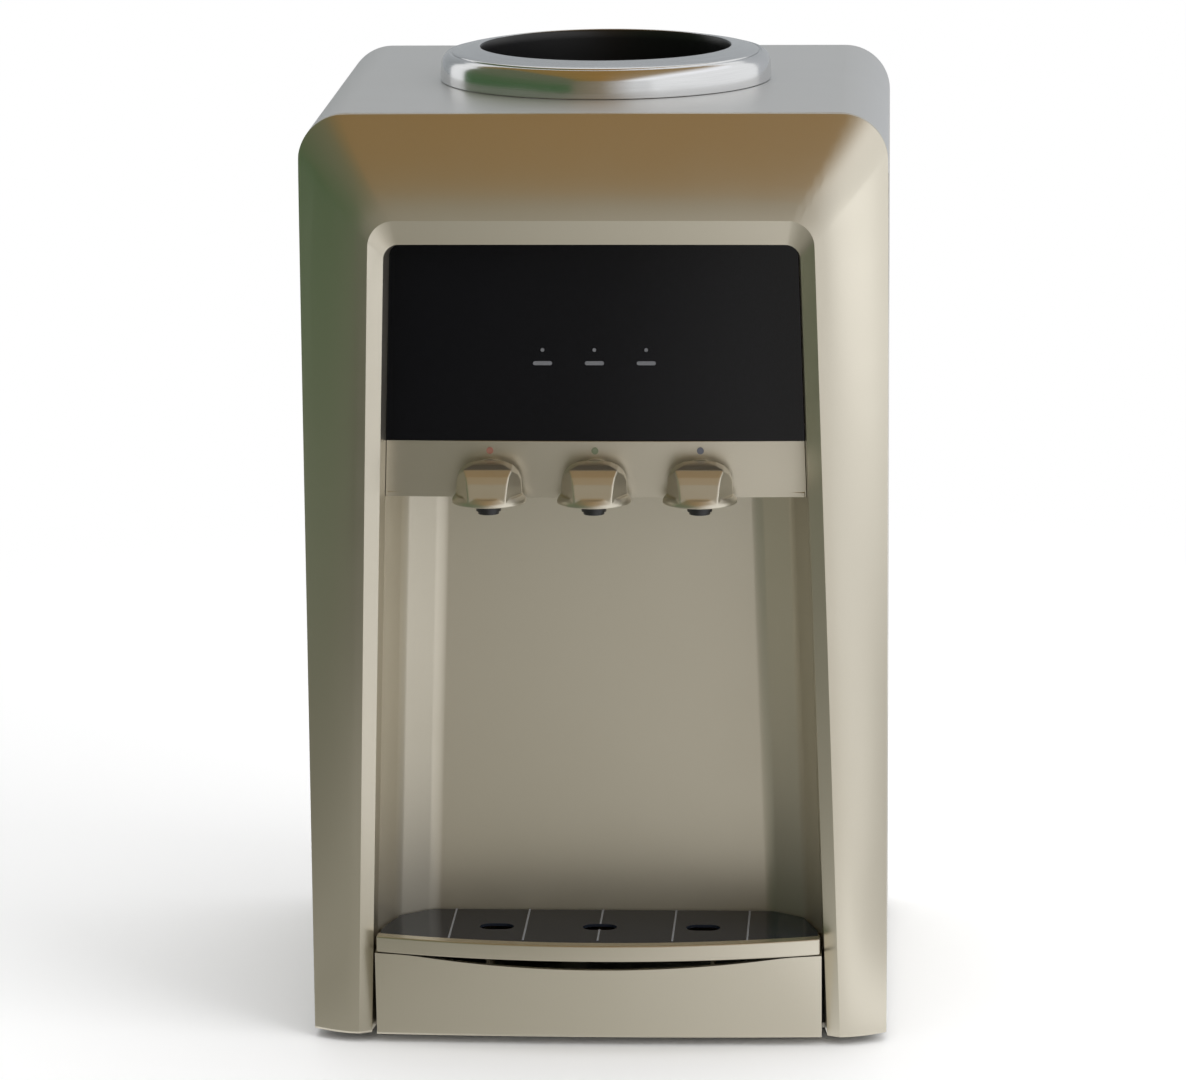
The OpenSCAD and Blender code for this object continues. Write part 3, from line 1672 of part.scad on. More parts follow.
rocker_half = switch_h / 2 - switch_t - 1.5 * run_gap;
rocker_w = switch_w - 2 * switch_t - 2 * run_gap;
rocker_y = rear_y - rocker_half / 3;
rocker_pin_r = 1.2;
rocker_back = rocker_half * 0.75;
bezel_t = sheet_t;

module switch_housings() {
  pocket_h = switch_h - 2 * switch_t;
  color(rubber_black)
    for (x = switch_x)
      translate([x, 0, switch_z])
        difference() {
          union() {
            translate([-switch_w / 2, rear_y - switch_d, -switch_h / 2])
              cube([switch_w, switch_d + weld, switch_h]);
            translate([-switch_w / 2 - bezel_w, rear_y + seam / 2, -switch_h / 2 - bezel_w])
              cube([switch_w + 2 * bezel_w, bezel_t, switch_h + 2 * bezel_w]);
          }
          translate([-switch_w / 2 + switch_t, rear_y - switch_d + switch_t, -pocket_h / 2])
            cube([switch_w - 2 * switch_t, switch_d + bezel_t, pocket_h]);
          translate([-switch_w, rocker_y, 0])
            rotate([0, 90, 0])
              cylinder(h = 2 * switch_w, r = rocker_pin_r + shaft_gap);
        }
}

module rocker(x) {
  lift = rocker_half / 3 + bezel_t;
  color("darkred")
    translate([x, rocker_y, switch_z])
      rotate([-rocker_tilt, 0, 0]) {
        translate([-rocker_w / 2, 0, 0])
          rotate([90, 0, 90])
            linear_extrude(height = rocker_w)
              polygon([
                [lift - over, 0], [lift + over / 2, rocker_half - run_gap], [over, rocker_half - run_gap],
                [-rocker_back / 2, 0],
                [over, -rocker_half + run_gap], [lift + over / 2, -rocker_half + run_gap]
              ]);
        translate([-switch_w / 2 + run_gap, 0, 0])
          rotate([0, 90, 0])
            cylinder(h = switch_w - 2 * run_gap, r = rocker_pin_r);
      }
}

module hot_rocker() {
  rocker(switch_x[0]);
}

module cold_rocker() {
  rocker(switch_x[1]);
}

module cord_gland() {
  color(rubber_black)
    translate([gland_x, 0, gland_z])
      difference() {
        union() {
          along_y(rear_y - gland_l / 2, gland_l, cord_r + gland_t);
          along_y(rear_y + seam, gland_l / 6, cord_r + 2 * gland_t);
        }
        along_y(rear_y - gland_l, 2 * gland_l, cord_r);
      }
}

module drain_cap() {
  depth = spout_l - run_gap;
  color(rubber_black)
    translate([tank_x, rear_y + run_gap, spout_z])
      difference() {
        along_y(0, depth + cap_t + run_gap, spout_r + run_gap + cap_t);
        along_y(-over, depth + run_gap + over, spout_r + run_gap);
      }
}

module panel_screw(x, y, z, l) {
  translate([x, 0, z]) {
    along_y(y - l, l + weld, screw_r);
    along_y(y + seam / 2, head_h, head_r);
  }
}

module panel_screws() {
  color(steel) {
    for (p = screw_places)
      panel_screw(p[0], rear_y, p[1], screw_l);
    for (p = fan_screw_places)
      panel_screw(p[0], rear_y, p[1], screw_l + sheet_t);
  }
}

base_pan();
rubber_feet();
left_side_panel();
right_side_panel();
rear_panel();
top_cover();
front_frame();
display_fascia();
indicator_lenses();
indicator_board();
tap_panel();
tap_markers();
niche_liner();
tray_shelf();
lower_front_panel();
drip_tray();
drip_grille();
bottle_collar();
bottle_seat();
feed_spike();
seat_gasket();
hot_tap_body();
ambient_tap_body();
cold_tap_body();
hot_lever();
ambient_lever();
cold_lever();
hot_stem();
ambient_stem();
cold_stem();
hot_spring();
ambient_spring();
cold_spring();
lever_pins();
tap_nuts();
mid_shelf();
reservoir();
reservoir_lid();
reservoir_baffle();
reservoir_foam();
hot_tank();
hot_tank_stand();
heater_band();
thermostats();
hot_hose();
ambient_hose();
cold_hose();
feed_hose();
cold_block();
thermoelectric_module();
heat_sink();
fan_frame();
fan_rotor();
power_board();
switch_housings();
hot_rocker();
cold_rocker();
cord_gland();
drain_cap();
panel_screws();
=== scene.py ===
import json
import math

import bpy
from mathutils import Euler, Matrix, Vector


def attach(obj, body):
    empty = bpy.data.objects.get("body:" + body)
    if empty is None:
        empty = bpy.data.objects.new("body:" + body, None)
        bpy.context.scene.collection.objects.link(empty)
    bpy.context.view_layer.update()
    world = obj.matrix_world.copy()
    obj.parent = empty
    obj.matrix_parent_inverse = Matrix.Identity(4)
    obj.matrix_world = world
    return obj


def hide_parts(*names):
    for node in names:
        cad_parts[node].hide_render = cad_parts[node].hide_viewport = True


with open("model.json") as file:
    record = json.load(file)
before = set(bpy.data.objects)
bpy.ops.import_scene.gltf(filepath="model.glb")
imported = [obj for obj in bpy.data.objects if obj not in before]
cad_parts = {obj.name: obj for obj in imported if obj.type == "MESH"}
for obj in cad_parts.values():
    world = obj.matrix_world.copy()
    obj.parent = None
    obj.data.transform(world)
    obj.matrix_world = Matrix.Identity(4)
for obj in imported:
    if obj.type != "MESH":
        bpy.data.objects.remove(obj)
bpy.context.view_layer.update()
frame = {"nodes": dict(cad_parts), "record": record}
nodes = frame["nodes"]
scene = bpy.context.scene
scene.view_settings.view_transform = "Standard"
mm = 0.001

photoView = {  # metres and degrees, the lens and sensor in millimetres
    "spot": (0.1594, -3.0, 0.895), "down": 12.2, "turn": 3.2, "roll": -0.5,
    "lens": 171.0, "sensor": 36.0, "farthest": 200.0,
}


def setCamera():
    eye = bpy.data.cameras.new("photoCamera")
    eye.sensor_width = photoView["sensor"]
    eye.lens = photoView["lens"]
    eye.clip_end = photoView["farthest"]
    holder = bpy.data.objects.new("photoCamera", eye)
    scene.collection.objects.link(holder)
    holder.location = photoView["spot"]
    aim = Euler((math.radians(90 - photoView["down"]), 0, math.radians(photoView["turn"])))
    roll = Matrix.Rotation(math.radians(photoView["roll"]), 3, "Z")
    holder.rotation_euler = (aim.to_matrix() @ roll).to_euler()
    scene.camera = holder


def clearSelection():
    if bpy.context.object and bpy.context.object.mode != "OBJECT":
        bpy.ops.object.mode_set(mode="OBJECT")
    bpy.ops.object.select_all(action="DESELECT")


def pick(piece):
    clearSelection()
    piece.select_set(True)
    bpy.context.view_layer.objects.active = piece


def openMesh(kind, action):
    bpy.ops.object.mode_set(mode="EDIT")
    bpy.ops.mesh.select_mode(type=kind)
    bpy.ops.mesh.select_all(action=action)


def closeMesh():
    bpy.ops.object.mode_set(mode="OBJECT")


def feed(tree, socket, value):
    if isinstance(value, Wire):
        tree.links.new(value.socket, socket)
    else:
        socket.default_value = value


class Wire:
    def __init__(self, tree, socket):
        self.tree = tree
        self.socket = socket

    def maths(self, operation, other, flip=False):
        step = self.tree.nodes.new("ShaderNodeMath")
        step.operation = operation
        pair = (other, self) if flip else (self, other)
        for socket, value in zip(step.inputs, pair):
            feed(self.tree, socket, value)
        return Wire(self.tree, step.outputs[0])

    def __add__(self, other):
        return self.maths("ADD", other)

    def __radd__(self, other):
        return self.maths("ADD", other, True)

    def __sub__(self, other):
        return self.maths("SUBTRACT", other)

    def __rsub__(self, other):
        return self.maths("SUBTRACT", other, True)

    def __mul__(self, other):
        return self.maths("MULTIPLY", other)

    def __rmul__(self, other):
        return self.maths("MULTIPLY", other, True)

    def __gt__(self, other):
        return self.maths("GREATER_THAN", other)

    def __lt__(self, other):
        return self.maths("LESS_THAN", other)


class Finish:
    def __init__(self, name, tree=None):
        if tree is None:
            self.material = bpy.data.materials.new(name)
            self.material.use_nodes = True
            tree = self.material.node_tree
        self.tree = tree
        self.shader = tree.nodes.get("Principled BSDF")

    def node(self, kind, settings=None, inputs=None, out=0):
        made = self.tree.nodes.new(kind)
        for key, value in (settings or {}).items():
            if key == "stops":
                ramp = made.color_ramp
                while len(ramp.elements) < len(value):
                    ramp.elements.new(0.5)
                for element, (place, shade) in zip(ramp.elements, value):
                    element.position = place
                    element.color = shade
            else:
                setattr(made, key, value)
        for key, value in (inputs or {}).items():
            feed(self.tree, made.inputs[key], value)
        return Wire(self.tree, made.outputs[out])

    def place(self):
        return self.node("ShaderNodeTexCoord", out="Object")

    def along(self, axis):
        return self.node("ShaderNodeSeparateXYZ", inputs={0: self.place()}, out=axis)

    def stretched(self, scale, shift=(0, 0, 0)):
        inputs = {"Vector": self.place(), "Location": shift, "Scale": scale}
        return self.node("ShaderNodeMapping", inputs=inputs)

    def length(self, vector):
        return self.node("ShaderNodeVectorMath", {"operation": "LENGTH"}, {0: vector}, 1)

    def noise(self, scale, detail=2.0, rough=0.5, vector=None):
        spot = vector or self.place()
        inputs = {"Vector": spot, "Scale": scale, "Detail": detail, "Roughness": rough}
        return self.node("ShaderNodeTexNoise", inputs=inputs)

    def mix(self, amount, first, second):
        sockets = {0: amount, 6: first, 7: second}
        return self.node("ShaderNodeMix", {"data_type": "RGBA"}, sockets, 2)

    def bump(self, height, strength, lift):  # lift in millimetres
        inputs = {"Height": height, "Strength": strength, "Distance": lift * mm}
        return self.node("ShaderNodeBump", inputs=inputs)

    def seen(self):
        kinds = ("Camera", "Glossy", "Transmission")
        rays = [self.node("ShaderNodeLightPath", out=f"Is {kind} Ray") for kind in kinds]
        return (rays[0] + rays[1] + rays[2]).maths("MINIMUM", 1.0)

    def paint(self, **sockets):
        for key, value in sockets.items():
            feed(self.tree, self.shader.inputs[key.replace("_", " ")], value)
        return self.material


def tone(red, green, blue):  # a screen colour of 0 to 255 as linear light
    share = [v / 255 for v in (red, green, blue)]
    return tuple(v / 12.92 if v <= 0.04045 else ((v + 0.055) / 1.055) ** 2.4 for v in share) + (1.0,)


studio = {  # metres: the floor turns white between two distances from the object
    "ambient": 0.72, "floorSize": 60.0, "floorTone": (0.95, 0.95, 0.95, 1), "floorRough": 0.9,
    "whiteFrom": 0.5, "whiteTo": 1.3,
}


def whiteRoom():
    world = bpy.data.worlds.new("whiteRoom")
    world.use_nodes = True
    scene.world = world
    room = Finish("whiteRoom", world.node_tree)
    level = room.seen() * (1 - studio["ambient"]) + studio["ambient"]
    background = world.node_tree.nodes["Background"]
    background.inputs["Color"].default_value = (1, 1, 1, 1)
    feed(world.node_tree, background.inputs["Strength"], level)


def paleFloor():
    clearSelection()
    bpy.ops.mesh.primitive_plane_add(size=studio["floorSize"], location=(0, 0, 0))
    floor = bpy.context.object
    floor.name = "paleFloor"
    ground = Finish("paleFloor")
    ground.paint(
        Base_Color=studio["floorTone"], Roughness=studio["floorRough"], Specular_IOR_Level=0.0,
    )
    across = ground.length(ground.place())
    far = ground.node(
        "ShaderNodeMapRange", {"interpolation_type": "SMOOTHSTEP"},
        {"Value": across, "From Min": studio["whiteFrom"], "From Max": studio["whiteTo"]},
    )
    white = ground.node("ShaderNodeEmission", inputs={"Color": (1, 1, 1, 1), "Strength": 1.0})
    near = Wire(ground.tree, ground.shader.outputs[0])
    mixed = ground.node("ShaderNodeMixShader", inputs={0: far * ground.seen(), 1: near, 2: white})
    ground.tree.links.new(mixed.socket, ground.tree.nodes["Material Output"].inputs["Surface"])
    floor.data.materials.append(ground.material)


softBoxes = [  # metres and watts
    {"name": "keyBox", "spot": (2.4, -1.6, 1.5), "aim": (0, 0, 0.25), "size": 2.2, "power": 50},
    {"name": "topBox", "spot": (0.2, 0.3, 2.8), "aim": (0, 0, 0.2), "size": 2.4, "power": 30},
]


def hangLights():
    for box in softBoxes:
        lamp = bpy.data.lights.new(box["name"], "AREA")
        lamp.size = box["size"]
        lamp.energy = box["power"]
        holder = bpy.data.objects.new(box["name"], lamp)
        scene.collection.objects.link(holder)
        holder.location = box["spot"]
        aim = Vector(box["aim"]) - Vector(box["spot"])
        holder.rotation_euler = aim.to_track_quat("-Z", "Y").to_euler()
        holder.visible_glossy = False


# plain cards that only the glossy surfaces see: the ramp runs along the card's first side
cards = [
    {
        "name": "ceilingCard", "spot": (0.0, -1.7, 1.9), "size": (4.4, 5.4),
        "ramp": [
            (0.0, (0.13, 0.145, 0.062)), (0.5, (0.31, 0.18, 0.055)),
            (0.68, (0.36, 0.27, 0.16)), (0.84, (1.15, 1.15, 1.17)),
        ],
    },
    {
        "name": "leftCard", "spot": (-0.95, -1.1, 0.9), "turn": (0, 90, 0), "size": (2.0, 2.9),
        "ramp": [
            (0.0, (0.15, 0.155, 0.095)), (0.5, (0.12, 0.145, 0.085)),
            (0.75, (0.055, 0.125, 0.05)), (1.0, (0.19, 0.19, 0.15)),
        ],
    },
    {
        "name": "leftFloorCard", "spot": (-0.55, -0.1, 0.005), "size": (0.74, 1.2),
        "ramp": [
            (0.0, (0.14, 0.135, 0.105)), (0.6, (0.27, 0.26, 0.225)), (1.0, (0.42, 0.41, 0.37)),
        ],
    },
    {
        "name": "floorCard", "spot": (0.0, -0.85, 0.004), "size": (2.4, 1.0),
        "ramp": [
            (0.34, (0.06, 0.06, 0.04)), (0.46, (0.33, 0.32, 0.28)),
            (0.58, (0.78, 0.76, 0.73)), (0.75, (0.95, 0.95, 0.95)),
        ],
    },
    {
        "name": "farFloorCard", "spot": (0.0, -2.3, 0.004), "size": (2.4, 1.9),
        "ramp": [
            (0.38, (0.03, 0.035, 0.02)), (0.455, (0.17, 0.165, 0.14)),
            (0.55, (0.9, 0.88, 0.85)), (0.7, (1.0, 1.0, 1.0)),
        ],
    },
    {
        "name": "nearCard", "spot": (0.0, -0.24, 0.006), "size": (0.5, 0.24),
        "ramp": [
            (0.1, (0.33, 0.32, 0.28)), (0.5, (0.56, 0.55, 0.51)),
            (0.72, (0.74, 0.73, 0.7)), (0.86, (1.1, 1.1, 1.1)),
        ],
    },
    {
        "name": "rightFloorCard", "spot": (0.85, 0.15, 0.005), "size": (1.3, 0.9),
        "ramp": [
            (0.0, (0.7, 0.69, 0.67)), (0.4, (0.46, 0.45, 0.42)), (1.0, (0.5, 0.49, 0.46)),
        ],
    },
    {
        "name": "rightFarCard", "spot": (2.2, -1.7, 0.006), "size": (2.6, 3.0),
        "ramp": [
            (0.0, (0.58, 0.57, 0.55)), (0.15, (0.68, 0.67, 0.66)),
            (0.32, (1.7, 1.72, 1.76)), (1.0, (1.8, 1.82, 1.86)),
        ],
    },
    {
        "name": "frontCard", "spot": (0.0, -4.4, 1.0), "turn": (90, 0, 0), "size": (6.0, 2.0),
        "ramp": [
            (0.0, (0.08, 0.10, 0.05)), (0.5, (0.28, 0.23, 0.16)), (0.8, (0.8, 0.8, 0.8)),
        ],
    },
    {
        "name": "backCard", "spot": (0.0, 1.6, 0.9), "turn": (90, 0, 0), "size": (3.4, 1.6),
        "ramp": [
            (0.0, (0.30, 0.32, 0.33)), (0.5, (0.43, 0.45, 0.465)), (1.0, (0.54, 0.55, 0.57)),
        ],
    },
]


def setCards():
    for card in cards:
        clearSelection()
        bpy.ops.mesh.primitive_plane_add(size=1.0, location=card["spot"])
        board = bpy.context.object
        board.name = card["name"]
        board.scale = card["size"] + (1,)
        board.rotation_euler = [math.radians(v) for v in card.get("turn", (0, 0, 0))]
        paper = Finish(card["name"])
        stops = [(spot, shade + (1,)) for spot, shade in card["ramp"]]
        wash = paper.node("ShaderNodeValToRGB", {"stops": stops}, {0: paper.along("X") + 0.5})
        paper.paint(
            Base_Color=(0, 0, 0, 1), Emission_Color=wash, Emission_Strength=1.0,
            Roughness=1.0, Specular_IOR_Level=0.0,
        )
        board.data.materials.append(paper.material)
        for ray in ("camera", "diffuse", "shadow", "transmission", "volume_scatter"):
            setattr(board, "visible_" + ray, False)


setCamera()
whiteRoom()
paleFloor()
hangLights()
setCards()
print("studio ready")

# in the looks below, a plain number is a noise scale, a span is a change of roughness,
# and a lift is the height of the bumps in millimetres
pearlLook = {
    "flakes": 2600, "drift": 9, "peel": 420, "smudge": 30, "smudgeSpan": 0.06,
    "bump": 0.04, "lift": 0.3, "coat": 0.15, "coatRough": 0.2,
}


def pearl(name, colour, flake, metal, rough):
    look = pearlLook
    coat = Finish(name)
    flakes = coat.noise(look["flakes"], 1.0)
    drift = coat.noise(look["drift"], 3.0)
    peel = coat.noise(look["peel"], 2.0)
    smudge = coat.noise(look["smudge"], 3.0)
    return coat.paint(
        Base_Color=coat.mix(flakes * 0.5 + drift * 0.5, colour, flake), Metallic=metal,
        Roughness=smudge * look["smudgeSpan"] + (rough - look["smudgeSpan"] / 2),
        Normal=coat.bump(peel, look["bump"], look["lift"]),
        Coat_Weight=look["coat"], Coat_Roughness=look["coatRough"],
    )


mouldedLook = {"drift": 14, "wear": 60, "wearSpan": 0.16, "bump": 0.12, "lift": 0.3}


def moulded(name, colour, darker, rough, grain):
    look = mouldedLook
    skin = Finish(name)
    spots = skin.noise(grain, 3.0, 0.6)
    drift = skin.noise(look["drift"], 2.0)
    wear = skin.noise(look["wear"], 4.0)
    return skin.paint(
        Base_Color=skin.mix(spots * 0.4 + drift * 0.6, colour, darker),
        Roughness=wear * look["wearSpan"] + (rough - look["wearSpan"] / 2),
        Normal=skin.bump(spots, look["bump"], look["lift"]),
    )


sheetLook = {"lines": 240, "drift": 11, "lineSpan": 0.14, "bump": 0.05, "lift": 0.3}


def metalSheet(name, colour, darker, rough, stretch):
    look = sheetLook
    sheet = Finish(name)
    lines = sheet.noise(look["lines"], 3.0, 0.6, sheet.stretched(stretch))
    drift = sheet.noise(look["drift"], 2.0)
    return sheet.paint(
        Base_Color=sheet.mix(lines * 0.5 + drift * 0.5, colour, darker), Metallic=1.0,
        Roughness=lines * look["lineSpan"] + (rough - look["lineSpan"] / 2),
        Normal=sheet.bump(lines, look["bump"], look["lift"]),
    )


glossLook = {
    "dust": 900, "dustShare": 0.2, "smear": 24, "smearSpan": 0.05, "bump": 0.02, "lift": 0.4,
}


def dusty(black, colour, dust):
    return black.mix(black.noise(glossLook["dust"], 1.0) * glossLook["dustShare"], colour, dust)


def glossCoat(black, shade, rough, level):
    smear = black.noise(glossLook["smear"], 4.0, 0.6)
    return black.paint(
        Base_Color=shade, Roughness=smear * glossLook["smearSpan"] + rough,
        Specular_IOR_Level=level, Normal=black.bump(smear, glossLook["bump"], glossLook["lift"]),
    )


def glossBlack(name, colour, rough, level):
    black = Finish(name)
    return glossCoat(black, dusty(black, colour, tone(34, 34, 38)), rough, level)


grilleLook = {  # millimetres
    "pitch": 39.5, "glintWidth": 1.1, "glintAbove": 59.5, "rough": 0.12, "level": 0.08,
}


# painted highlight: the tops of the raised ribs are painted a lighter grey, which stands in for the
# glint of light along each rib
def grilleFinish(name, colour, ribGlint):
    look = grilleLook
    plate = Finish(name)
    x = plate.along("X") * (1 / (look["pitch"] * mm))
    aside = (x - x.maths("ROUND", 0.0)).maths("ABSOLUTE", 0.0)
    upper = plate.along("Z") > look["glintAbove"] * mm
    # mask of the painted rib highlight: a thin strip over each rib, above the plate's top
    glintOnRibs = (aside < look["glintWidth"] / look["pitch"] / 2) * upper
    shade = plate.mix(glintOnRibs, dusty(plate, colour, tone(52, 54, 60)), ribGlint)
    return glossCoat(plate, shade, look["rough"], look["level"])


collarRing = {  # radius and height in millimetres, over the rim and down the bore
    "axis": (0.0, 15.0), "steps": 160, "blackWithin": 67.7, "edge": 0.35,
    "profile": [
        (61.0, 477.0), (70.0, 477.0), (70.0, 506.0), (81.0, 506.0), (85.5, 497.2),
        (89.0, 497.2), (89.0, 500.0), (88.8, 503.6), (88.5, 506.6), (87.7, 508.9),
        (86.5, 510.6), (85.2, 511.7), (84.0, 512.0), (83.5, 511.0), (82.6, 511.0),
        (82.4, 512.3), (81.0, 512.8), (78.0, 513.4), (74.0, 514.1), (70.6, 514.7),
        (68.9, 515.0), (68.1, 515.0), (67.5, 514.6), (67.1, 513.6), (66.5, 510.0),
        (66.5, 490.0), (64.0, 490.0), (64.0, 480.0), (61.0, 480.0),
    ],
    "turned": 700, "drawn": (0.05, 0.05, 3), "turnedSpan": 0.08, "blackRough": 0.30,
    "brightRough": 0.12, "bump": 0.03, "lift": 0.2,
}


def ringFinish(name, colour, darker, black):
    look = collarRing
    ring = Finish(name)
    x0, y0 = look["axis"]
    outward = ring.length(ring.stretched((1, 1, 0), (-x0 * mm, -y0 * mm, 0)))
    bright = outward > look["blackWithin"] * mm
    turned = ring.noise(look["turned"], 2.0, 0.5, ring.stretched(look["drawn"]))
    rough = bright * (look["brightRough"] - look["blackRough"]) + look["blackRough"]
    return ring.paint(
        Base_Color=ring.mix(bright, black, ring.mix(turned, colour, darker)), Metallic=bright,
        Roughness=turned * look["turnedSpan"] + rough,
        Normal=ring.bump(turned, look["bump"], look["lift"]),
    )


dotLook = {  # the dots' colours part at this distance from the middle, in millimetres
    "spread": 27.5, "ink": 900, "inkShare": 0.25, "inkSpan": 0.1, "rough": 0.35,
}


def dotFinish(name, hot, plain, cold):
    look = dotLook
    dot = Finish(name)
    x = dot.along("X")
    spread = look["spread"] * mm
    shade = dot.mix(x > -spread, hot, dot.mix(x > spread, plain, cold))
    ink = dot.noise(look["ink"], 2.0)
    return dot.paint(
        Base_Color=dot.mix(ink * look["inkShare"], shade, tone(150, 146, 134)),
        Roughness=ink * look["inkSpan"] + look["rough"],
    )


tapLook = {  # the nozzle is dark below this height, in millimetres
    "darkBelow": 294.5, "metal": 0.9, "grain": 700, "grainSpan": 0.1, "rough": 0.32,
    "bump": 0.06, "lift": 0.2,
}


def tapFinish(name, shell, nozzle, darker):
    look = tapLook
    body = Finish(name)
    upper = body.along("Z") > look["darkBelow"] * mm
    grain = body.noise(look["grain"], 3.0, 0.6)
    return body.paint(
        Base_Color=body.mix(upper, body.mix(grain, nozzle, darker), shell),
        Metallic=upper * look["metal"], Roughness=grain * look["grainSpan"] + look["rough"],
        Normal=body.bump(grain, look["bump"], look["lift"]),
    )


champagne = (tone(206, 200, 184), tone(214, 208, 194))
jetBlack = tone(12, 12, 13)
finishes = {made.name: made for made in (
    pearl("pearlShell", *champagne, 0.97, 0.33),
    pearl("pearlNiche", *champagne, 0.91, 0.44),
    pearl("pearlCover", tone(204, 205, 205), tone(212, 213, 213), 0.85, 0.36),
    pearl("cabinetPaint", tone(186, 183, 174), tone(194, 191, 183), 0.6, 0.42),
    pearl("leverGold", *champagne, 0.95, 0.4),
    glossBlack("fasciaBlack", tone(11, 11, 13), 0.05, 0.25),
    glossBlack("seatBlack", jetBlack, 0.35, 0.15),
    # the grille's last colour is the painted highlight on the rib tops
    grilleFinish("grilleBlack", tone(23, 28, 36), tone(124, 126, 130)),
    tapFinish("tapDark", champagne[0], tone(38, 38, 39), tone(28, 28, 29)),
    ringFinish("brightRing", tone(224, 225, 226), tone(212, 213, 214), jetBlack),
    dotFinish("markerDots", tone(140, 84, 66), tone(96, 106, 78), tone(80, 84, 98)),
    metalSheet("plainSteel", tone(190, 191, 192), tone(170, 171, 173), 0.32, (1, 1, 8)),
    metalSheet("sinkAluminium", tone(204, 206, 208), tone(186, 188, 190), 0.38, (8, 1, 1)),
    moulded("lampLens", tone(104, 105, 108), tone(88, 89, 92), 0.3, 500),
    moulded("clearPlastic", tone(226, 231, 232), tone(212, 219, 222), 0.28, 300),
    moulded("foamWhite", tone(240, 240, 236), tone(224, 224, 219), 0.85, 520),
    moulded("rubberBlack", tone(34, 34, 34), tone(24, 24, 24), 0.7, 900),
    moulded("darkPlastic", tone(42, 42, 43), tone(32, 32, 33), 0.5, 800),
    moulded("shelfPlastic", tone(196, 186, 160), tone(182, 172, 148), 0.5, 600),
    moulded("boardGreen", tone(36, 104, 66), tone(24, 82, 52), 0.45, 260),
    moulded("rockerRed", tone(168, 34, 30), tone(150, 26, 24), 0.3, 500),
    moulded("rockerGreen", tone(34, 128, 66), tone(26, 110, 56), 0.3, 500),
    moulded("hoseClear", tone(214, 217, 212), tone(196, 200, 196), 0.45, 400),
    moulded("ceramicWhite", tone(236, 236, 232), tone(224, 224, 220), 0.6, 600),
)}

slotFinish = {
    "champagne_shell": "pearlShell", "silver_cover": "pearlCover", "cabinet_sheet": "cabinetPaint",
    "fascia_black": "fasciaBlack", "bright_ring": "brightRing", "lever_gold": "leverGold",
    "tap_dark": "tapDark", "marker": "markerDots", "lamp_lens": "lampLens",
    "plain_steel": "plainSteel", "sink_aluminium": "sinkAluminium", "clear_plastic": "clearPlastic",
    "foam_white": "foamWhite", "rubber_black": "rubberBlack", "board_green": "boardGreen",
    "dark_plastic": "darkPlastic", "rocker_red": "rockerRed", "rocker_green": "rockerGreen",
    "hose_clear": "hoseClear", "ceramic_white": "ceramicWhite",
}
ownFinish = {
    "drip_grille": "grilleBlack", "bottle_seat": "seatBlack", "tray_shelf": "shelfPlastic",
    "niche_liner": "pearlNiche",
}
record = frame["record"]
nodeSlot = {part["node"]: part["material_slot"] for part in record["subparts"]}
nodeBody = {node: body for body, held in record["behaviour"]["bodies"].items() for node in held}


def finishOf(name):
    return finishes[ownFinish.get(name, slotFinish[nodeSlot[name]])]


def paintNodes():
    for name, obj in nodes.items():
        obj.data.materials.clear()
        obj.data.materials.append(finishOf(name))


paintNodes()
print("finishes ready")

meshCare = {  # millimetres and degrees
    "copyGap": 0.005, "spinGap": 0.01, "flat": 0.5, "foldAngle": 40, "smoothAngle": 35,
}


def mergedCopy(name, ending, flatten=True):
    piece = nodes[name].copy()
    piece.data = nodes[name].data.copy()
    piece.name = name + ending
    piece.data.name = name + ending
    scene.collection.objects.link(piece)
    piece.parent = None
    piece.matrix_world = nodes[name].matrix_world
    pick(piece)
    if piece.data.has_custom_normals:
        bpy.ops.mesh.customdata_custom_splitnormals_clear()
    openMesh("VERT", "SELECT")
    bpy.ops.mesh.remove_doubles(threshold=meshCare["copyGap"] * mm)
    if flatten:
        bpy.ops.mesh.dissolve_limited(angle_limit=math.radians(meshCare["flat"]))
    closeMesh()
    return piece


def applyModifier(piece, kind, **settings):
    bpy.context.view_layer.objects.active = piece
    step = piece.modifiers.new(kind.lower(), kind)
    for key, value in settings.items():
        setattr(step, key, value)
    bpy.ops.object.modifier_apply(modifier=step.name)


def roundEdges(piece, width, segments, angle=meshCare["foldAngle"]):
    applyModifier(
        piece, "BEVEL", width=width * mm, segments=segments, limit_method="ANGLE",
        angle_limit=math.radians(angle), use_clamp_overlap=True,
    )


def settle(piece, name, angle=meshCare["smoothAngle"]):
    pick(piece)
    bpy.ops.object.shade_smooth_by_angle(angle=math.radians(angle))
    applyModifier(piece, "WEIGHTED_NORMAL", keep_sharp=True)
    piece.data.materials.clear()
    piece.data.materials.append(finishOf(name))
    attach(piece, nodeBody[name])
    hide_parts(name)


# moulded and folded pieces get softened edges: width in millimetres, segments
softened = {
    "top_cover": (0.8, 3), "left_side_panel": (0.6, 2), "right_side_panel": (0.6, 2),
    "rear_panel": (0.4, 2), "display_fascia": (0.6, 3), "drip_tray": (0.9, 3),
    "drip_grille": (0.25, 2), "tap_panel": (1.0, 3), "rubber_feet": (1.2, 3),
    "base_pan": (0.4, 2), "tray_shelf": (0.4, 2), "switch_housings": (0.4, 2),
    "hot_rocker": (0.4, 3), "cold_rocker": (0.4, 3), "cord_gland": (0.5, 3),
    "hot_tap_body": (0.4, 2), "ambient_tap_body": (0.4, 2), "cold_tap_body": (0.4, 2),
    "indicator_lenses": (0.15, 2), "bottle_seat": (0.4, 2),
}


def softenEdges():
    for name, (width, segments) in softened.items():
        piece = mergedCopy(name, "_soft")
        roundEdges(piece, width, segments)
        settle(piece, name)


shellLook = {  # smoothed between the hard edges: degrees, and the edge in millimetres
    "pieces": ("front_frame", "lower_front_panel"), "levels": 2, "crease": 22, "edge": 0.7,
    "quadBend": 60, "quadSkew": 180,
}


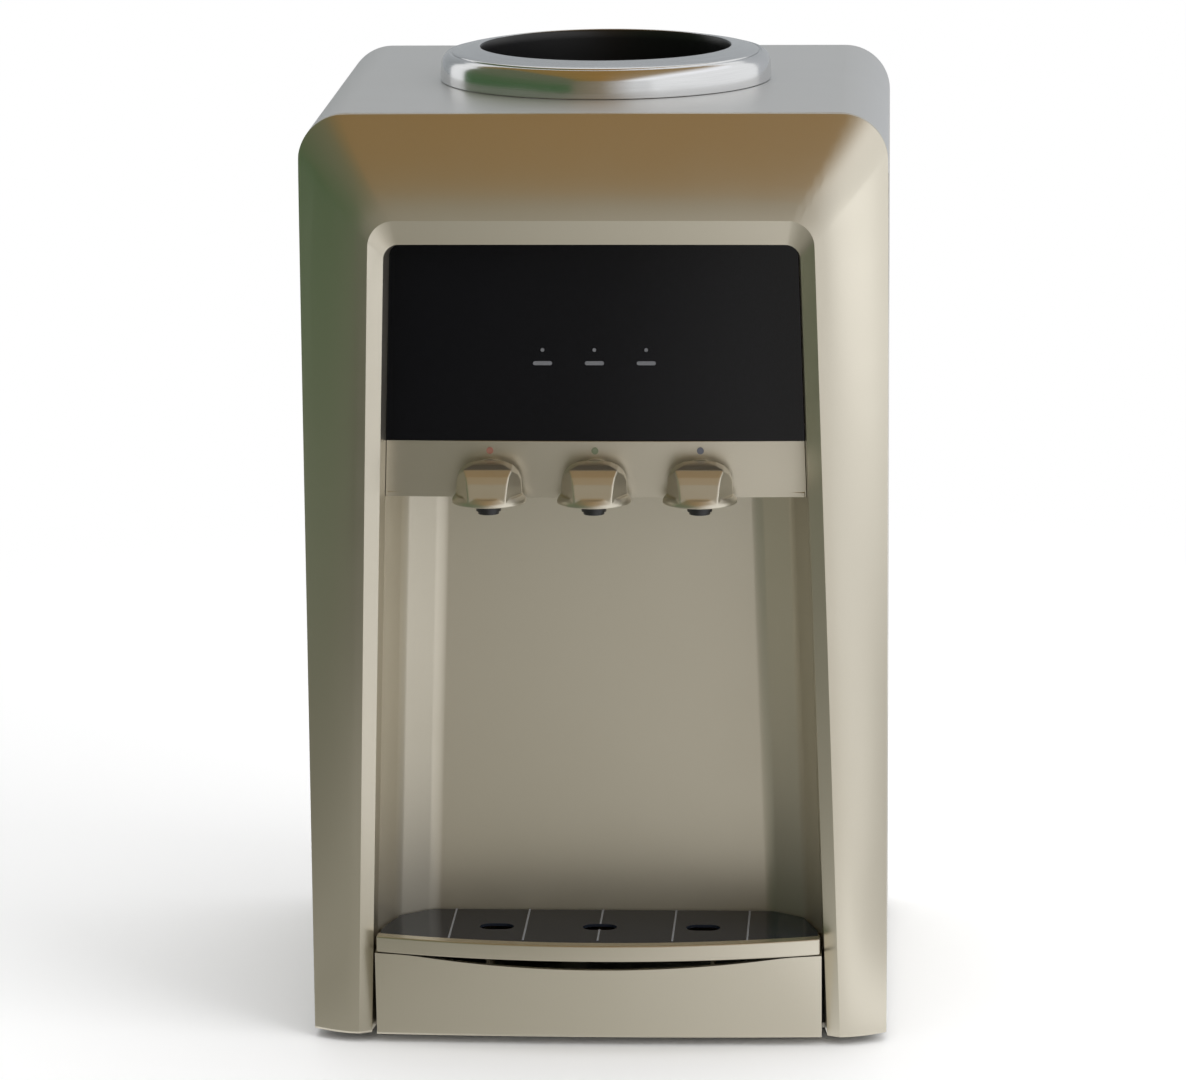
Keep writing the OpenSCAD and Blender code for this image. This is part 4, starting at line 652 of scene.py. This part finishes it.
def smoothShells():
    for name in shellLook["pieces"]:
        piece = mergedCopy(name, "_smooth", flatten=False)
        openMesh("FACE", "SELECT")
        bpy.ops.mesh.tris_convert_to_quads(
            face_threshold=math.radians(shellLook["quadBend"]),
            shape_threshold=math.radians(shellLook["quadSkew"]),
        )
        openMesh("EDGE", "DESELECT")
        bpy.ops.mesh.edges_select_sharp(sharpness=math.radians(shellLook["crease"]))
        bpy.ops.transform.edge_crease(value=1.0)
        closeMesh()
        levels = shellLook["levels"]
        applyModifier(piece, "SUBSURF", levels=levels, render_levels=levels)
        roundEdges(piece, shellLook["edge"], 2, shellLook["crease"])
        settle(piece, name)


leverSkin = {  # cell in millimetres, share of a pass, passes, degrees
    "pieces": ("hot_lever", "ambient_lever", "cold_lever"),
    "cell": 0.35, "soften": 0.5, "passes": 14, "smoothAngle": 60,
}


def smoothLevers():
    for name in leverSkin["pieces"]:
        piece = mergedCopy(name, "_smooth")
        applyModifier(piece, "REMESH", mode="VOXEL", voxel_size=leverSkin["cell"] * mm)
        applyModifier(piece, "SMOOTH", factor=leverSkin["soften"], iterations=leverSkin["passes"])
        settle(piece, name, leverSkin["smoothAngle"])


def turnProfile(name, profile, steps):
    clearSelection()
    start = (profile[0][0] * mm, 0, profile[0][1] * mm)
    bpy.ops.mesh.primitive_plane_add(size=mm, location=start)
    piece = bpy.context.object
    piece.name = name
    piece.data.name = name
    bpy.ops.object.transform_apply(location=True)
    openMesh("VERT", "SELECT")
    bpy.ops.mesh.merge(type="CENTER")
    for (r0, z0), (r1, z1) in zip(profile, profile[1:] + profile[:1]):
        step = ((r1 - r0) * mm, 0, (z1 - z0) * mm)
        bpy.ops.mesh.extrude_vertices_move(TRANSFORM_OT_translate={"value": step})
    bpy.ops.mesh.select_all(action="SELECT")
    bpy.ops.mesh.spin(steps=steps, angle=math.tau, center=(0, 0, 0), axis=(0, 0, 1))
    bpy.ops.mesh.select_all(action="SELECT")
    bpy.ops.mesh.remove_doubles(threshold=meshCare["spinGap"] * mm)
    bpy.ops.mesh.normals_make_consistent(inside=False)
    closeMesh()
    return piece


def placePiece(piece, spot, turn=(0, 0, 0)):
    pick(piece)
    piece.location = Vector(spot) * mm
    piece.rotation_euler = [math.radians(v) for v in turn]
    bpy.ops.object.transform_apply(location=True, rotation=True, scale=True)


def makeCollar():
    piece = turnProfile("collar_ring", collarRing["profile"], collarRing["steps"])
    placePiece(piece, collarRing["axis"] + (0,))
    roundEdges(piece, collarRing["edge"], 3)
    settle(piece, "bottle_collar")


nicheFolds = {  # millimetres and degrees; an upright edge rises by this share of its length
    "width": 4.0, "segments": 5, "least": 12, "most": 60, "upright": 0.7, "smoothAngle": 30,
}


def softenNiche():
    piece = mergedCopy("niche_liner", "_folded")
    mesh = piece.data
    sides = {}
    for face in mesh.polygons:
        for key in face.edge_keys:
            sides.setdefault(key, []).append(face.normal.copy())
    openMesh("EDGE", "DESELECT")
    closeMesh()
    for edge in mesh.edges:
        run = mesh.vertices[edge.vertices[1]].co - mesh.vertices[edge.vertices[0]].co
        pair = sides[edge.key]
        steep = abs(run.z) > nicheFolds["upright"] * run.length
        turn = math.degrees(pair[0].angle(pair[1])) if len(pair) == 2 else 0
        edge.select = steep and nicheFolds["least"] < turn < nicheFolds["most"]
    bpy.ops.object.mode_set(mode="EDIT")
    bpy.ops.mesh.bevel(
        offset=nicheFolds["width"] * mm, segments=nicheFolds["segments"], affect="EDGES",
    )
    closeMesh()
    settle(piece, "niche_liner", nicheFolds["smoothAngle"])


rearScrew = {  # millimetres: the head stands on the rear panel, and the cross is sunk into it
    "face": 143.1, "head": 2.4, "steps": 32, "across": 4.6, "slotWidth": 1.0, "slotDepth": 1.2,
    "profile": [
        (0.0, 2.4), (1.6, 2.32), (2.8, 1.9), (3.6, 1.2), (4.0, 0.35), (4.0, 0.0),
        (1.9, 0.0), (1.9, -9.0), (0.0, -9.0),
    ],
    "panelPlaces": [(side * 144.5, height) for side in (-1, 1) for height in (32.6, 235.0, 437.4)],
    "fanPlaces": [(side * 36.0, 344.5 + rise * 36.0) for side in (-1, 1) for rise in (-1, 1)],
    "turnEach": 37,  # degrees from one cross to the next
}


def makeScrews():
    screw = turnProfile("rear_screws", rearScrew["profile"], rearScrew["steps"])
    slot = (rearScrew["across"], rearScrew["slotWidth"])
    for width, length in (slot, slot[::-1]):
        clearSelection()
        bpy.ops.mesh.primitive_cube_add(size=1.0, location=(0, 0, rearScrew["head"] * mm))
        blade = bpy.context.object
        blade.scale = (width * mm, length * mm, 2 * rearScrew["slotDepth"] * mm)
        applyModifier(screw, "BOOLEAN", operation="DIFFERENCE", object=blade, solver="EXACT")
        bpy.data.objects.remove(blade, do_unlink=True)
    copies = []
    for index, (x, z) in enumerate(rearScrew["panelPlaces"] + rearScrew["fanPlaces"]):
        copy = screw.copy()
        copy.data = screw.data.copy()
        scene.collection.objects.link(copy)
        placePiece(copy, (x, rearScrew["face"], z), (-90, rearScrew["turnEach"] * index, 0))
        copies.append(copy)
    bpy.data.objects.remove(screw, do_unlink=True)
    pick(copies[0])
    for copy in copies:
        copy.select_set(True)
    bpy.ops.object.join()
    copies[0].name = "rear_screws"
    copies[0].data.name = "rear_screws"
    settle(copies[0], "panel_screws")


drainGrip = {  # millimetres: a cup over the spout, with grip flutes round it
    "spot": (-62.0, 143.4, 35.0), "steps": 48, "smoothAngle": 30,
    "profile": [
        (0.0, 9.5), (8.3, 9.5), (9.3, 9.2), (9.9, 8.4), (9.9, 1.2), (9.6, 0.0),
        (7.4, 0.0), (7.4, 7.0), (0.0, 7.0),
    ],
    "fluteFrom": 2.0, "fluteTo": 7.0, "fluteOutside": 9.5, "fluteIn": 0.25, "fluteDeep": 0.45,
}


def makeDrainCap():
    grip = drainGrip
    piece = turnProfile("drain_grip", grip["profile"], grip["steps"])
    turn = math.tau / grip["steps"]
    openMesh("FACE", "DESELECT")
    closeMesh()
    for face in piece.data.polygons:
        x, y, z = face.center
        around = int((math.atan2(y, x) + math.tau) / turn)
        tall = grip["fluteFrom"] * mm < z < grip["fluteTo"] * mm
        outer = math.hypot(x, y) > grip["fluteOutside"] * mm
        face.select = tall and outer and around % 2 == 0
    bpy.ops.object.mode_set(mode="EDIT")
    bpy.ops.mesh.inset(
        thickness=grip["fluteIn"] * mm, depth=-grip["fluteDeep"] * mm, use_individual=True,
    )
    closeMesh()
    placePiece(piece, grip["spot"], (-90, 0, 0))
    settle(piece, "drain_cap", grip["smoothAngle"])


softenEdges()
smoothShells()
smoothLevers()
makeCollar()
softenNiche()
makeScrews()
makeDrainCap()
print("pieces ready")
